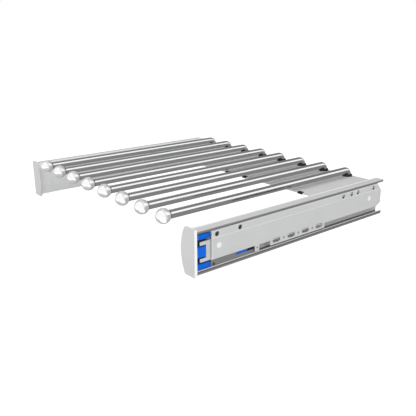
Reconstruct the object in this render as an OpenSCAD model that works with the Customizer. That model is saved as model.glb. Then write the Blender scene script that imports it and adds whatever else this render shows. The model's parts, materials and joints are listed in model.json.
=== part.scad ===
// Pull out trouser rack: two aluminium side profiles on full extension ball slides,
// a rear cross plate, and eight cantilever rods with ball ends.
// X runs across the rack, Y from the caps to the back, Z up. Sizes are in millimetres.

/* [Rack] */
// Width over the two cabinet members
rack_w = 564; // [420:1:1100]
// Depth from the front of the end caps to the rear of the profiles
rack_d = 450; // [430:1:600]
// How far the rack pulls out
travel = 380; // [300:1:390]
// Height of the end caps
cap_h = 73.1; // [72:0.1:84]

/* [Rods] */
// Diameter of a rod
rod_d = 14; // [10:0.1:15]
// Wall of the rod's tube
rod_wall = 1.2; // [0.8:0.1:1.8]
// Outer face of the rack to the axis of the first rod
first_rod_in = 75.9; // [60:0.1:90]
// Axis height of the rods
rod_z = 75.5; // [75:0.1:90]
// Radius of the rear bend on the rod's centre line
rod_bend_r = 9.5; // [8:0.1:10]
// Rear end of the profiles to the axis of a rod's upright leg
rod_leg_in = 11.2; // [11:0.1:20]
// Diameter of the thread below a rod's shoulder
stud_d = 6; // [4:0.1:7]
// Diameter of the ball on a rod's front end
ball_d = 24.4; // [20:0.1:28]
// Depth of the blind bore in a ball
ball_bore = 14; // [11:0.1:15]

/* [Plate] */
// Thickness of the rear plate
plate_t = 2; // [1.2:0.1:2.5]
// Height of the plate's upper face
plate_z = 64.2; // [62:0.1:65]
// Length of the plate from front to back
plate_l = 168.5; // [120:0.5:240]
// Rear end of the profiles to the rear edge of the plate
plate_in = 1.8; // [0.5:0.1:1.8]
// Height of the plate's rear flange
plate_flange_h = 14; // [8:0.1:20]
// How far the plate's side flanges run down the profiles
plate_side_h = 20; // [18:0.1:24]

/* [Profile] */
// Wall of the extrusion's curved inner skin
skin_t = 1.5; // [1:0.1:2]
// Thickness of its upper and lower flanges
flange_t = 1.8; // [1.2:0.1:2]
// Thickness of its upright web behind the slide
web_t = 1.5; // [1:0.1:2]
// Outer face of the rack to the curved skin where it meets the flanges
skin_in = 18.5; // [17:0.1:20]
// How far the skin bows out at half height
bow = 9; // [6:0.1:10]
// Thickness of the lips
lip_t = 1.6; // [1:0.1:1.8]
// Height of the upper lip
lip_top_h = 4.2; // [2.5:0.1:4.6]
// Height of the lower lip
lip_low_h = 7; // [4:0.1:7.3]

/* [Cap] */
// Thickness of an end cap
cap_t = 4.6; // [3:0.1:6]
// How far a cap stands past the profile above and below
cap_over = 2.85; // [1.5:0.05:4]
// How far it stands past the curved skin
cap_over_in = 5.9; // [3:0.1:7]
// Radius of a cap's inner corners
cap_corner_r = 2.4; // [1:0.1:4]
// Length of the collar behind a cap
collar_l = 20; // [8:0.5:26]
// Wall of the collar
collar_t = 1.2; // [0.8:0.1:2]
// Length of the plug inside the profile
plug_l = 16; // [8:0.5:26]

/* [Slide] */
// Height of the cabinet member
slide_h = 45; // [44.6:0.1:45.4]
// Thickness of the whole slide
slide_t = 12.7; // [12.7:0.1:13.2]
// Height of the slide's middle
slide_z = 42.9; // [42.7:0.1:43.1]
// Face of the end caps to the front of the cabinet member
slide_in = 31; // [31:0.5:34]
// Rear end of the profiles to the rear of the cabinet member
slide_rear_in = 6.6; // [3:0.1:12]
// Sheet of the cabinet member
outer_t = 1.1; // [0.9:0.05:1.2]
// Sheet of the intermediate member
mid_t = 1; // [0.8:0.05:1.1]
// Sheet of the drawer member
inner_t = 1.2; // [1:0.05:1.3]
// Sheet of the ball cages
cage_t = 0.5; // [0.4:0.05:0.6]
// Diameter of the balls against the cabinet member
outer_ball_d = 3.8; // [3.4:0.1:4]
// Diameter of the balls against the drawer member
inner_ball_d = 3.2; // [2.8:0.1:3.4]
// Clearance between the moving parts of a slide
slide_gap = 0.3; // [0.25:0.01:0.3]
// Face of the end caps to the front of the intermediate member
mid_in = 118; // [110:1:124]
// Length of the cage against the cabinet member
outer_cage_l = 120; // [80:1:120]
// Length of the cage against the drawer member
inner_cage_l = 104; // [70:1:104]

/* [Soft close] */
// Front and rear ends of the damper housing, from the face of the end caps
damper_front = 31.5; // [30:0.5:34]
damper_rear = 126; // [126:0.5:134]
// Front and rear ends of the catch, from the face of the end caps
catch_front = 81.5; // [79:0.5:83]
catch_rear = 104; // [102:0.5:107]
// How far the catch runs in its housing
catch_run = 22; // [16:0.5:22]

/* [Hidden] */

// Overrun of a cut past the solid it cuts
over = 1;
// Running clearance of a pin in its hole, on the radius
pin_gap = 0.08;
// Fixed clearance between pieces that are fastened together
fit_gap = 0.1;
// Facets of a round piece, of a small one and of the faceted springs
$fn = 64;
small_fn = 32;
coil_fn = 6;

// Outline of the profile, cap and their curved inner faces, seen from the front.
// Each outline is drawn with x running in from the rack's outer face.
lip_in = 1;
cap_in = 0.6;
mid_z = cap_h / 2;
prof_low = cap_over;
prof_top = cap_h - cap_over;
prof_half = mid_z - cap_over;
function bow_r(half, rise) = (half * half + rise * rise) / (2 * rise);
skin_r = bow_r(prof_half, bow);
skin_c = skin_in + bow - skin_r;
cap_r = bow_r(mid_z, bow);
cap_c = skin_in + cap_over_in + bow - cap_r;
web_out = slide_t;
web_in = slide_t + web_t;
bay_low = prof_low + flange_t;
bay_top = prof_top - flange_t;
lip_low_top = prof_low + lip_low_h;
lip_top_low = prof_top - lip_top_h;
lip_round = 1.5;
prof_rear = rack_d;

// Frame: the origin lies on the floor line in the middle of the outer box.
box_front = -ball_d / 2;
origin_y = (rack_d + box_front) / 2;
half_w = rack_w / 2;

// Rods and the holes that their threads pass through
rod_count = 8;
rod_pitch = (rack_w - 2 * first_rod_in) / (rod_count - 1);
function rod_x(i) = first_rod_in - half_w + i * rod_pitch;
leg_y = rack_d - rod_leg_in;
rod_front = ball_d / 2 - ball_bore;
bush_d = 18.6;
bush_h = 2.4;
bush_lip = 0.8;
washer_d = 12.5;
washer_t = 1.4;
nut_w = 10;
nut_h = 5;
stud_spare = 2;
stud_low = plate_z - plate_t - washer_t - nut_h - stud_spare;
stud_hole_gap = 0.3;
thread_gap = 0.05;

// Rear plate
plate_rear = rack_d - plate_in;
plate_front = plate_rear - plate_l;
plate_low = plate_z - plate_t;
plate_r = skin_r + fit_gap;
plate_screw_count = 3;
plate_screw_d = 3.5;
plate_screw_end = 18;
plate_screw_drop = 11;
plate_screw_l = 7;
plate_screw_head_d = 7;
plate_screw_head_h = 2.4;

// Black pads that clip over the plate's front edge: how many rods stand before the rod
// beside each pad, and how far the pad is off that rod
pad_rod_count = [4, 5, 7];
pad_off = [1.3, -7.6, 19.8];
pad_w = 10.7;
pad_l = 5;
pad_t = 1;

// Slide, measured in from the outer face and up or down from its middle
slide_front = slide_in;
slide_rear = rack_d - slide_rear_in;
outer_half = slide_h / 2;
outer_race = outer_half - outer_t;
outer_depth = 9.4;
outer_hem = 3.4;
outer_ball_z = outer_race - slide_gap - outer_ball_d / 2;
mid_half = outer_ball_z - outer_ball_d / 2 - slide_gap;
mid_race = mid_half - mid_t;
inner_ball_z = mid_race - slide_gap - inner_ball_d / 2;
inner_half = inner_ball_z - inner_ball_d / 2 - slide_gap;
outer_cage_in = outer_t + slide_gap;
mid_out = outer_cage_in + cage_t + slide_gap;
inner_cage_in = mid_out + mid_t + slide_gap;
inner_open = inner_cage_in + cage_t + slide_gap;
inner_web_in = slide_t - inner_t;
mid_depth = 9.1;
mid_hem = 2.6;
inner_hem = 1.1;
outer_ball_in = outer_depth / 2;
inner_ball_in = 8.1;
cage_depth = 5.8;
inner_cage_depth = 6.6;
cage_strip_t = 0.8;
ball_pitch = 9;
cage_end = 6;
ball_gap = 0.12;
mid_rear_in = 13.4;
mid_front = mid_in;
mid_rear = slide_rear - mid_rear_in;
inner_front = 11.4;
inner_rear_in = 13;
inner_rear = rack_d - inner_rear_in;
// Cages sit midway between where the members overlap when shut and when open.
outer_cage_mid = ((mid_front + mid_rear) / 2 + (slide_front + mid_rear - travel / 2) / 2
    + travel / 4) / 2;
inner_cage_mid = ((mid_front + mid_rear) / 2
    + (mid_front - travel / 2 + inner_rear - travel) / 2 + travel * 3 / 4) / 2;

// Holes of the cabinet member: a row above its middle, and slots in the bracket below
row_up = 16.5;
row_hole_d = 7.7;
front_hole_in = 9.8;
front_hole_pitch = 45;
rear_hole_in = [112.8, 89.5, 71.3, 24.8];
rivet_d = 7;
rivet_flange_d = 9;
rivet_front_in = 13.9;
rivet_rear_in = 35.6;
rivet_down = 2;
rivet_flange_t = 0.5;
corner_cut = 12.5;
corner_top_rise = 14;
corner_low_rise = 6.6;
member_round = 1.8;
bracket_front = 120;
bracket_l = 131;
bracket_drop = 7.4;
slot_count = 4;
slot_pitch = 34.5;
slot_l = 18;
slot_h = 7.6;
slot_first = 13.5;
slot_drop = 0.8;
slot_hole_d = 4;
bead_up = 11;
bead_w = 2.2;
bead_deep = 0.25;
bead_front_in = 25;
bead_rear_in = 24;

// Drawer member: front tab that steps out to the front block, its notch, and screws
tab_in = 3;
tab_low = 21;
tab_top = 52.1;
tab_rear = 30.2;
channel_front = 33;
notch_low = 26.3;
notch_top = 46.8;
notch_rear = 22.8;
screw_d = 4;
screw_head_d = 8;
screw_head_h = 2;
screw_reach = 3.2;
screw_first = 52;
screw_rear_in = 21;
screw_to_lever = 16;

// Release lever of the drawer member
lever_rear_in = 85;
lever_pivot_y = inner_rear - lever_rear_in;
lever_front_l = 42;
lever_back_l = 7;
lever_h = 7;
lever_t = 2.4;
lever_in = 8.8;
lever_pin_d = 3;
lever_pin_head_d = 5.6;
lever_pin_head_t = 0.9;
lever_finger_l = 5;
lever_finger_h = 2.2;
screw_last = lever_pivot_y - lever_front_l - screw_to_lever;
screw_y = [screw_first, (screw_first + screw_last) / 2, screw_last, inner_rear - screw_rear_in];

// Front block
block_in = 2.9;
block_depth = 9.6;
block_back_t = 4;
block_margin = 1.4;
arm_l = 26;
arm_h = 7.7;
arm_low_z = 10.2;
arm_top_z = 56.1;
tongue_l = 17.4;
tongue_low = 28.9;
tongue_top = 44.2;

// Damper housing below the slide, its two bores and the catch channel
housing_in = 3;
housing_out = 12.6;
housing_low = bay_low + fit_gap;
housing_top_gap = 0.9;
housing_top = slide_z - outer_half - housing_top_gap;
bore_in = 7.7;
cylinder_d = 7;
cylinder_up = 4.5;
cylinder_z = housing_low + cylinder_up;
cylinder_front = 42;
cylinder_rear = 84;
cylinder_wall = 1.2;
spring_d = 4.6;
spring_wire = 0.8;
spring_turns = 11;
spring_front = 44;
spring_bore_gap = 0.4;
spring_drop = 0.8;
channel_up = 10.2;
channel_low = housing_low + channel_up;
catch_in = 3.6;
catch_out = 8.6;
catch_low_gap = 0.4;
catch_top_gap = 0.3;
catch_low = channel_low + catch_low_gap;
catch_top = housing_top - catch_top_gap;
upper_bore_z = (catch_low + catch_top) / 2 - spring_drop;
upper_bore_in = (catch_in + catch_out) / 2;
catch_gap = 0.5;
foot_front = 88;
foot_rear = 93;
foot_in = 6.4;
foot_out = 9;
foot_down = 2.6;
foot_low = cylinder_z - foot_down;
foot_spare = 2;
foot_slot_rear = foot_rear + catch_run + foot_spare;
rod_pin_d = 2;
piston_d = 4.4;
piston_l = 8;
rod_pin_front = 58;
damper_screw_d = 3;
damper_screw_head_d = 5.6;
damper_screw_head_h = 1.8;
damper_screw_y = [36.6, 121.6];
damper_screw_z = [12, 9.4];
hook_front = catch_rear;
hook_rear = 119.4;
hook_h = 3.8;
striker_d = 3.4;
striker_y = 122;
striker_reach = 6.4;
striker_lug_l = 9;
striker_lug_low = 11.4;

// Places the model on its frame.
module placed() {
    translate([0, -origin_y, 0]) children();
}

// Right or left hand copy of a piece drawn for the right hand side.
module hand(left) {
    mirror([left ? 1 : 0, 0, 0]) children();
}

module both() {
    for (left = [false, true]) hand(left) children();
}

// Extrudes a section drawn as [in from the outer face, height] from one depth to another.
module along(front, rear) {
    translate([half_w, rear, 0]) rotate([90, 0, 0]) linear_extrude(rear - front)
        mirror([1, 0]) children();
}

// Block given by [in from the outer face, depth, height] at its low and high corners.
module block(low, high) {
    translate([half_w - high[0], low[1], low[2]])
        cube([high[0] - low[0], high[1] - low[1], high[2] - low[2]]);
}

// Pin along X between two distances in from the outer face.
module cross_pin(in0, in1, y, z, d, fn = small_fn) {
    translate([half_w - in1, y, z]) rotate([0, 90, 0]) cylinder(h = in1 - in0, d = d, $fn = fn);
}

// Pin along Y between two depths.
module long_pin(front, rear, in, z, d) {
    translate([half_w - in, rear, z]) rotate([90, 0, 0])
        cylinder(h = rear - front, d = d, $fn = small_fn);
}

// Area of a circle's disc between two heights, right of a given line.
module bowed(c, r, from, low, high) {
    intersection() {
        translate([c, mid_z]) circle(r, $fn = 128);
        translate([from, low]) square([c + r + over - from, high - low]);
    }
}

// Rounds the two outer corners of a section that starts at a given line.
module outer_rounds(from, low, high, r) {
    for (end = [[low, low, 1], [high, high - r, -1]])
        difference() {
            translate([from - over, min(end[1], end[0]) - (end[2] > 0 ? over : 0)])
                square([r + over, r + over]);
            translate([from + r, end[0] + end[2] * r]) circle(r, $fn = small_fn);
        }
}

module profile_section() {
    difference() {
        bowed(skin_c, skin_r, lip_in, prof_low, prof_top);
        intersection() {
            translate([skin_c, mid_z]) circle(skin_r - skin_t, $fn = 128);
            translate([web_in, bay_low]) square([skin_r, bay_top - bay_low]);
        }
        translate([lip_in + lip_t, bay_low])
            square([web_out - lip_in - lip_t, bay_top - bay_low]);
        translate([lip_in - over, lip_low_top])
            square([lip_t + 2 * over, lip_top_low - lip_low_top]);
        outer_rounds(lip_in, prof_low, prof_top, lip_round);
    }
}

module side_profile(left) {
    color("silver") placed() hand(left) difference() {
        along(cap_t, prof_rear) profile_section();
        for (y = screw_y)
            cross_pin(web_out - over, web_in + over, y, slide_z, screw_d + 2 * thread_gap);
        for (i = [0 : 1])
            cross_pin(web_out - over, web_in + over, damper_screw_y[i], damper_screw_z[i],
                damper_screw_d + 2 * thread_gap);
        for (i = [0 : plate_screw_count - 1])
            plate_screw_at(i) translate([0, 0, -over]) cylinder(h = skin_t + 2 * over + plate_t,
                d = plate_screw_d + 2 * thread_gap, $fn = small_fn);
    }
}

// Cap outline: a straight outer edge, a bowed inner edge and two rounded inner corners.
cap_round_h = mid_z - cap_corner_r;
cap_round_in = cap_c + sqrt(pow(cap_r - cap_corner_r, 2) - pow(cap_round_h, 2));
cap_touch_h = cap_round_h * cap_r / (cap_r - cap_corner_r);
module cap_section() {
    bowed(cap_c, cap_r, cap_in, mid_z - cap_touch_h, mid_z + cap_touch_h);
    translate([cap_in, 0]) square([cap_round_in - cap_in, cap_h]);
    for (side = [-1, 1])
        translate([cap_round_in, mid_z + side * cap_round_h]) circle(cap_corner_r, $fn = small_fn);
}

module front_cap(left) {
    color("gainsboro") placed() hand(left) {
        along(0, cap_t) difference() {
            cap_section();
            outer_rounds(cap_in, 0, cap_h, lip_round);
        }
        // Collar over the curved skin
        along(cap_t, cap_t + collar_l) difference() {
            bowed(skin_c, skin_r + fit_gap + collar_t, skin_in, prof_low, prof_top);
            translate([skin_c, mid_z]) circle(skin_r + fit_gap, $fn = 128);
        }
        // Plug in the closed chamber
        along(cap_t, cap_t + plug_l) intersection() {
            translate([skin_c, mid_z]) circle(skin_r - skin_t - fit_gap, $fn = 128);
            translate([web_in + fit_gap, bay_low + fit_gap])
                square([skin_r, bay_top - bay_low - 2 * fit_gap]);
        }
    }
}

module front_block(left) {
    color("dodgerblue") placed() hand(left) {
        block([block_in, cap_t, bay_low + block_margin],
            [block_in + block_depth, cap_t + block_back_t, bay_top - block_margin]);
        for (z = [arm_low_z, arm_top_z])
            block([block_in, cap_t, z], [block_in + block_depth, cap_t + arm_l, z + arm_h]);
        block([block_in, cap_t, tongue_low],
            [block_in + block_depth, cap_t + tongue_l, tongue_top]);
    }
}

// Rear plate: its side flanges are rolled to the curve of the profiles.
module plate_section() {
    difference() {
        translate([-half_w, plate_low]) square([rack_w, plate_t]);
        for (side = [-1, 1])
            translate([side * (half_w - skin_c), mid_z]) circle(plate_r, $fn = 128);
        for (side = [0, 1]) mirror([side, 0])
            translate([half_w - skin_c, plate_low - over]) square([half_w, plate_t + 2 * over]);
    }
    for (side = [0, 1]) mirror([side, 0]) intersection() {
        difference() {
            translate([half_w - skin_c, mid_z]) circle(plate_r + plate_t, $fn = 128);
            translate([half_w - skin_c, mid_z]) circle(plate_r, $fn = 128);
        }
        translate([0, plate_low - plate_side_h])
            square([half_w - skin_c, plate_side_h + plate_t]);
    }
}

// Place of one plate screw on the right hand side, with z along the screw, out of the skin.
plate_screw_z = plate_low - plate_screw_drop;
plate_screw_tilt = asin((plate_screw_z - mid_z) / skin_r);
module plate_screw_at(i) {
    pitch = (plate_l - 2 * plate_screw_end) / (plate_screw_count - 1);
    translate([half_w - skin_c, plate_front + plate_screw_end + i * pitch, mid_z])
        rotate([0, plate_screw_tilt - 90, 0])
        translate([0, 0, skin_r - skin_t]) children();
}

module rear_plate() {
    color("silver") placed() difference() {
        union() {
            translate([0, plate_rear, 0]) rotate([90, 0, 0]) linear_extrude(plate_l)
                plate_section();
            inset = half_w - skin_c - plate_r - plate_t;
            translate([-inset, plate_rear - plate_t, plate_z - plate_flange_h])
                cube([2 * inset, plate_t, plate_flange_h - plate_t]);
        }
        for (i = [0 : rod_count - 1])
            translate([rod_x(i), leg_y, plate_low - over]) cylinder(h = plate_t + 2 * over,
                d = stud_d + 2 * stud_hole_gap, $fn = small_fn);
        for (i = [0 : plate_screw_count - 1])
            both() plate_screw_at(i) cylinder(h = skin_t + plate_t + over,
                d = plate_screw_d + 2 * stud_hole_gap, $fn = small_fn);
    }
}

// Pan head screw along z, with its head standing on z = 0.
module pan_screw(d, reach, head_d, head_h) {
    translate([0, 0, -reach]) cylinder(h = reach, d = d, $fn = small_fn);
    difference() {
        union() {
            cylinder(h = head_h / 2, d = head_d, $fn = small_fn);
            translate([0, 0, head_h / 2])
                cylinder(h = head_h / 2, d1 = head_d, d2 = head_d * head_taper_share,
                    $fn = small_fn);
        }
        for (turn = [0, 90]) rotate([0, 0, turn])
            translate([-head_d * drive_long_share / 2, -head_d * drive_wide_share / 2,
                head_h * drive_deep_share])
                cube([head_d * drive_long_share, head_d * drive_wide_share, head_h]);
    }
}
head_taper_share = 0.72;
drive_long_share = 0.5;
drive_wide_share = 0.12;
drive_deep_share = 0.45;

module plate_screws() {
    color("silver") placed() both() for (i = [0 : plate_screw_count - 1])
        plate_screw_at(i) translate([0, 0, skin_t + fit_gap + plate_t])
            pan_screw(plate_screw_d, plate_screw_l, plate_screw_head_d, plate_screw_head_h);
}

// Clips over the plate's front edge, one beside each of three rods
module plate_edge_pads() {
    color("black") placed() for (i = [0 : 2])
        translate([rod_x(pad_rod_count[i]) + pad_off[i] - pad_w / 2, plate_front - pad_t,
            plate_low - pad_t]) difference() {
            cube([pad_w, pad_l + pad_t, plate_t + 2 * pad_t]);
            translate([-over, pad_t, pad_t])
                cube([pad_w + 2 * over, pad_l + over, plate_t]);
        }
}

// Run of a rod: a straight stretch, the bend at its rear and the upright leg
module rod_run(d, front) {
    translate([0, leg_y - rod_bend_r, rod_z]) rotate([90, 0, 0])
        cylinder(h = leg_y - rod_bend_r - front, d = d);
    translate([0, leg_y - rod_bend_r, rod_z - rod_bend_r]) rotate([90, 0, 90])
        rotate_extrude(angle = 90) translate([rod_bend_r, 0]) circle(d = d);
}

// Tube with a shoulder on the plate and a solid threaded end below it
module rod(i) {
    color("gainsboro") placed() translate([rod_x(i), 0, 0]) {
        difference() {
            rod_run(rod_d, rod_front);
            rod_run(rod_d - 2 * rod_wall, rod_front - over);
        }
        translate([0, leg_y, plate_z])
            cylinder(h = rod_z - rod_bend_r - plate_z, d = rod_d);
        translate([0, leg_y, stud_low]) cylinder(h = plate_z - stud_low, d = stud_d);
    }
}

module rod_end_balls() {
    color("white") placed() for (i = [0 : rod_count - 1])
        translate([rod_x(i), 0, rod_z]) rotate([-90, 0, 0]) rotate_extrude($fn = 96)
            difference() {
                intersection() {
                    circle(d = ball_d, $fn = 96);
                    translate([0, -ball_d / 2]) square([ball_d / 2, ball_d]);
                }
                translate([-over, rod_front])
                    square([over + rod_d / 2 + thread_gap, ball_bore + over]);
            }
}

// Domed rings that trim the foot of each rod
module rod_bushes() {
    color("black") placed() for (i = [0 : rod_count - 1])
        translate([rod_x(i), leg_y, plate_z]) difference() {
            union() {
                cylinder(h = bush_h - bush_lip, d = bush_d);
                translate([0, 0, bush_h - bush_lip])
                    cylinder(h = bush_lip, d1 = bush_d, d2 = bush_d - 2 * bush_lip);
            }
            translate([0, 0, -over])
                cylinder(h = bush_h + 2 * over, d = rod_d + 4 * stud_hole_gap);
        }
}

module rod_washers() {
    color("silver") placed() for (i = [0 : rod_count - 1])
        translate([rod_x(i), leg_y, plate_low - washer_t]) difference() {
            cylinder(h = washer_t, d = washer_d, $fn = small_fn);
            translate([0, 0, -over]) cylinder(h = washer_t + 2 * over,
                d = stud_d + 2 * stud_hole_gap, $fn = small_fn);
        }
}

module rod_nuts() {
    color("silver") placed() for (i = [0 : rod_count - 1])
        translate([rod_x(i), leg_y, plate_low - washer_t - nut_h]) difference() {
            cylinder(h = nut_h, d = nut_w / cos(30), $fn = 6);
            translate([0, 0, -over]) cylinder(h = nut_h + 2 * over,
                d = stud_d + 2 * thread_gap, $fn = small_fn);
        }
}

// Rectangle with rounded corners, from [in, height] to [in, height]
module soft_square(low, high, r) {
    translate([low[0] + r, low[1]]) square([high[0] - low[0] - 2 * r, high[1] - low[1]]);
    translate([low[0], low[1] + r]) square([high[0] - low[0], high[1] - low[1] - 2 * r]);
    for (x = [low[0] + r, high[0] - r], y = [low[1] + r, high[1] - r])
        translate([x, y]) circle(r, $fn = small_fn);
}

// Rolled channel of one sheet, open on the side at mouth, with hems turned over its mouth
module rolled_channel(in0, in1, half, sheet, hem, mouth, r) {
    difference() {
        soft_square([in0, -half], [in1, half], r);
        soft_square([in0 + sheet, sheet - half], [in1 - sheet, half - sheet], r - sheet * round_share);
        translate([mouth - sheet - over, hem - half])
            square([2 * (sheet + over), 2 * (half - hem)]);
    }
}
round_share = 0.7;

// Extrudes a section drawn about the slide's middle line.
module along_slide(front, rear) {
    along(front, rear) translate([0, slide_z]) children();
}

module corner_wedge(rise, top) {
    edge = slide_z + (top ? outer_half : -outer_half);
    turn = top ? -1 : 1;
    translate([half_w - outer_depth - over, 0, 0]) rotate([90, 0, 90])
        linear_extrude(outer_depth + 2 * over) polygon([
            [slide_rear - corner_cut, edge], [slide_rear - corner_cut, edge - turn * over],
            [slide_rear + over, edge - turn * over],
            [slide_rear + over, edge + turn * rise], [slide_rear, edge + turn * rise]]);
}

module cabinet_member(left) {
    bracket_y = bracket_front + slide_front;
    bracket_low = slide_z - outer_half - bracket_drop;
    slot_z = slide_z - outer_half - slot_drop;
    color("lightgray") placed() hand(left) difference() {
        union() {
            along_slide(slide_front, slide_rear)
                rolled_channel(0, outer_depth, outer_half, outer_t, outer_hem, outer_depth,
                    member_round);
            block([0, bracket_y, bracket_low],
                [outer_t, bracket_y + bracket_l, slide_z - outer_half + 2 * outer_hem]);
            block([0, striker_y - striker_lug_l / 2, striker_lug_low],
                [outer_t, striker_y + striker_lug_l / 2, slide_z - outer_half + outer_hem]);
        }
        for (y = [front_hole_in, front_hole_in + front_hole_pitch])
            row_hole(slide_front + y);
        for (y = rear_hole_in) row_hole(slide_rear - y);
        for (y = [slide_front + rivet_front_in, slide_rear - rivet_rear_in])
            cross_pin(-over, outer_t + over, y, slide_z - rivet_down, rivet_d);
        cross_pin(-over, outer_t + over, striker_y, striker_z, striker_shank_d);
        block([-over, slide_front + bead_front_in, slide_z + bead_up - bead_w / 2],
            [bead_deep, slide_rear - bead_rear_in, slide_z + bead_up + bead_w / 2]);
        for (i = [0 : slot_count - 1]) {
            y = bracket_y + slot_first + i * slot_pitch;
            block([-over, y - (slot_l - slot_h) / 2, slot_z - slot_h / 2],
                [outer_t + over / 2, y + (slot_l - slot_h) / 2, slot_z + slot_h / 2]);
            for (end = [-1, 1])
                cross_pin(-over, outer_t + over / 2, y + end * (slot_l - slot_h) / 2, slot_z,
                    slot_h);
            if (i > 0)
                cross_pin(-over, outer_t + over / 2, y - slot_pitch / 2, slot_z, slot_hole_d);
        }
        corner_wedge(corner_top_rise, true);
        corner_wedge(corner_low_rise, false);
    }
}

module row_hole(y) {
    cross_pin(-over, outer_t + over, y, slide_z + row_up, row_hole_d);
}

// Flush rivets of the cabinet member, each with a thin flange behind the sheet
module cabinet_member_rivets() {
    color("white") placed() both()
        for (y = [slide_front + rivet_front_in, slide_rear - rivet_rear_in]) {
            cross_pin(0, outer_t, y, slide_z - rivet_down, rivet_d - 2 * thread_gap);
            cross_pin(outer_t, outer_t + rivet_flange_t, y, slide_z - rivet_down,
                rivet_flange_d);
        }
}

// Pin on each cabinet member that the soft close catch runs up to
striker_z = (catch_low + catch_top) / 2;
striker_shank_d = 3;
module catch_strikers() {
    color("silver") placed() both() {
        cross_pin(0, outer_t, striker_y, striker_z, striker_shank_d - 2 * thread_gap);
        cross_pin(outer_t, striker_reach, striker_y, striker_z, striker_d);
    }
}

module intermediate_member(left) {
    color("silver") placed() hand(left) along_slide(mid_front, mid_rear)
        rolled_channel(mid_out, mid_out + mid_depth, mid_half, mid_t, mid_hem,
            mid_out + mid_depth, mid_t + mid_t / 2);
}

// Section of the drawer member: a web, two flanges and hems that turn away from its middle
module drawer_section() {
    difference() {
        soft_square([inner_open - over, -inner_half], [slide_t, inner_half], inner_t);
        translate([inner_open - 2 * over, inner_t - inner_half])
            square([inner_web_in - inner_open + 2 * over, 2 * (inner_half - inner_t)]);
        translate([inner_open - 2 * over, -inner_half - over])
            square([2 * over, 2 * (inner_half + over)]);
    }
    for (side = [0, 1]) mirror([0, side])
        translate([inner_open, inner_half - inner_t / 2])
            square([inner_t, inner_hem + inner_t / 2]);
}

module drawer_member(left) {
    color("lightgray") placed() hand(left) difference() {
        union() {
            along_slide(channel_front, inner_rear) drawer_section();
            block([tab_in, inner_front, tab_low], [tab_in + inner_t, tab_rear, tab_top]);
            block([tab_in, tab_rear - inner_t, tab_low], [slide_t, tab_rear, tab_top]);
            block([inner_web_in, tab_rear - inner_t, slide_z - inner_half],
                [slide_t, channel_front + over, slide_z + inner_half]);
        }
        block([tab_in - over, inner_front - over, notch_low],
            [tab_in + inner_t + over, notch_rear, notch_top]);
        for (y = screw_y)
            cross_pin(inner_web_in - over, slide_t + over, y, slide_z,
                screw_d + 2 * stud_hole_gap);
        cross_pin(inner_web_in - over, slide_t + over, lever_pivot_y, slide_z,
            lever_pin_d + 2 * thread_gap);
    }
}

// Places a screw along X, with its head inside the slide and its thread in the profile.
module screw_inward(in, y, z) {
    translate([half_w - in, y, z]) rotate([0, 90, 0]) children();
}

module drawer_member_screws() {
    color("silver") placed() both() for (y = screw_y)
        screw_inward(inner_web_in, y, slide_z)
            pan_screw(screw_d, inner_t + screw_reach, screw_head_d, screw_head_h);
}

// Flat lever with a finger at its front and an eye round its pin
module release_lever(left) {
    color("black") placed() hand(left) difference() {
        union() {
            block([lever_in, lever_pivot_y - lever_front_l, slide_z - lever_h / 2],
                [lever_in + lever_t, lever_pivot_y, slide_z + lever_h / 2]);
            block([lever_in, lever_pivot_y - lever_front_l, slide_z],
                [lever_in + lever_t, lever_pivot_y - lever_front_l + lever_finger_l,
                    slide_z + lever_h / 2 + lever_finger_h]);
            cross_pin(lever_in, lever_in + lever_t, lever_pivot_y, slide_z, 2 * lever_back_l);
        }
        cross_pin(lever_in - over, lever_in + lever_t + over, lever_pivot_y, slide_z,
            lever_pin_d + 2 * pin_gap);
    }
}

module release_lever_pins() {
    color("silver") placed() both() {
        cross_pin(lever_in - slide_gap, slide_t, lever_pivot_y, slide_z, lever_pin_d);
        cross_pin(lever_in - slide_gap - lever_pin_head_t, lever_in - slide_gap,
            lever_pivot_y, slide_z, lever_pin_head_d);
    }
}

// Cage: a flat strip with two turned edges that hold a row of balls each
function ball_count(length) = floor((length - 2 * cage_end) / ball_pitch) + 1;
function ball_y(mid, length, i) =
    mid + (i - (ball_count(length) - 1) / 2) * ball_pitch;

module cage(left, in, depth, mid, length, ball_in, ball_z, d) {
    placed() hand(left) difference() {
        union() {
            block([in, mid - length / 2, slide_z - ball_z - cage_strip_t / 2],
                [in + cage_t, mid + length / 2, slide_z + ball_z + cage_strip_t / 2]);
            for (side = [-1, 1])
                block([in, mid - length / 2, slide_z + side * ball_z - cage_strip_t / 2],
                    [in + depth, mid + length / 2, slide_z + side * ball_z + cage_strip_t / 2]);
        }
        for (i = [0 : ball_count(length) - 1], side = [-1, 1])
            translate([half_w - ball_in, ball_y(mid, length, i),
                slide_z + side * ball_z - over - cage_strip_t])
                cylinder(h = 2 * (over + cage_strip_t), d = d + 2 * ball_gap, $fn = small_fn);
    }
}

module balls(left, mid, length, ball_in, ball_z, d) {
    placed() hand(left) for (i = [0 : ball_count(length) - 1], side = [-1, 1])
        translate([half_w - ball_in, ball_y(mid, length, i), slide_z + side * ball_z])
            sphere(d = d, $fn = small_fn);
}

module outer_cage(left) {
    color("darkgray") cage(left, outer_cage_in, cage_depth, outer_cage_mid, outer_cage_l,
        outer_ball_in, outer_ball_z, outer_ball_d);
}

module inner_cage(left) {
    color("darkgray") cage(left, inner_cage_in, inner_cage_depth, inner_cage_mid, inner_cage_l,
        inner_ball_in, inner_ball_z, inner_ball_d);
}

module outer_balls(left) {
    color("white") balls(left, outer_cage_mid, outer_cage_l, outer_ball_in, outer_ball_z,
        outer_ball_d);
}

module inner_balls(left) {
    color("white") balls(left, inner_cage_mid, inner_cage_l, inner_ball_in, inner_ball_z,
        inner_ball_d);
}

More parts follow.
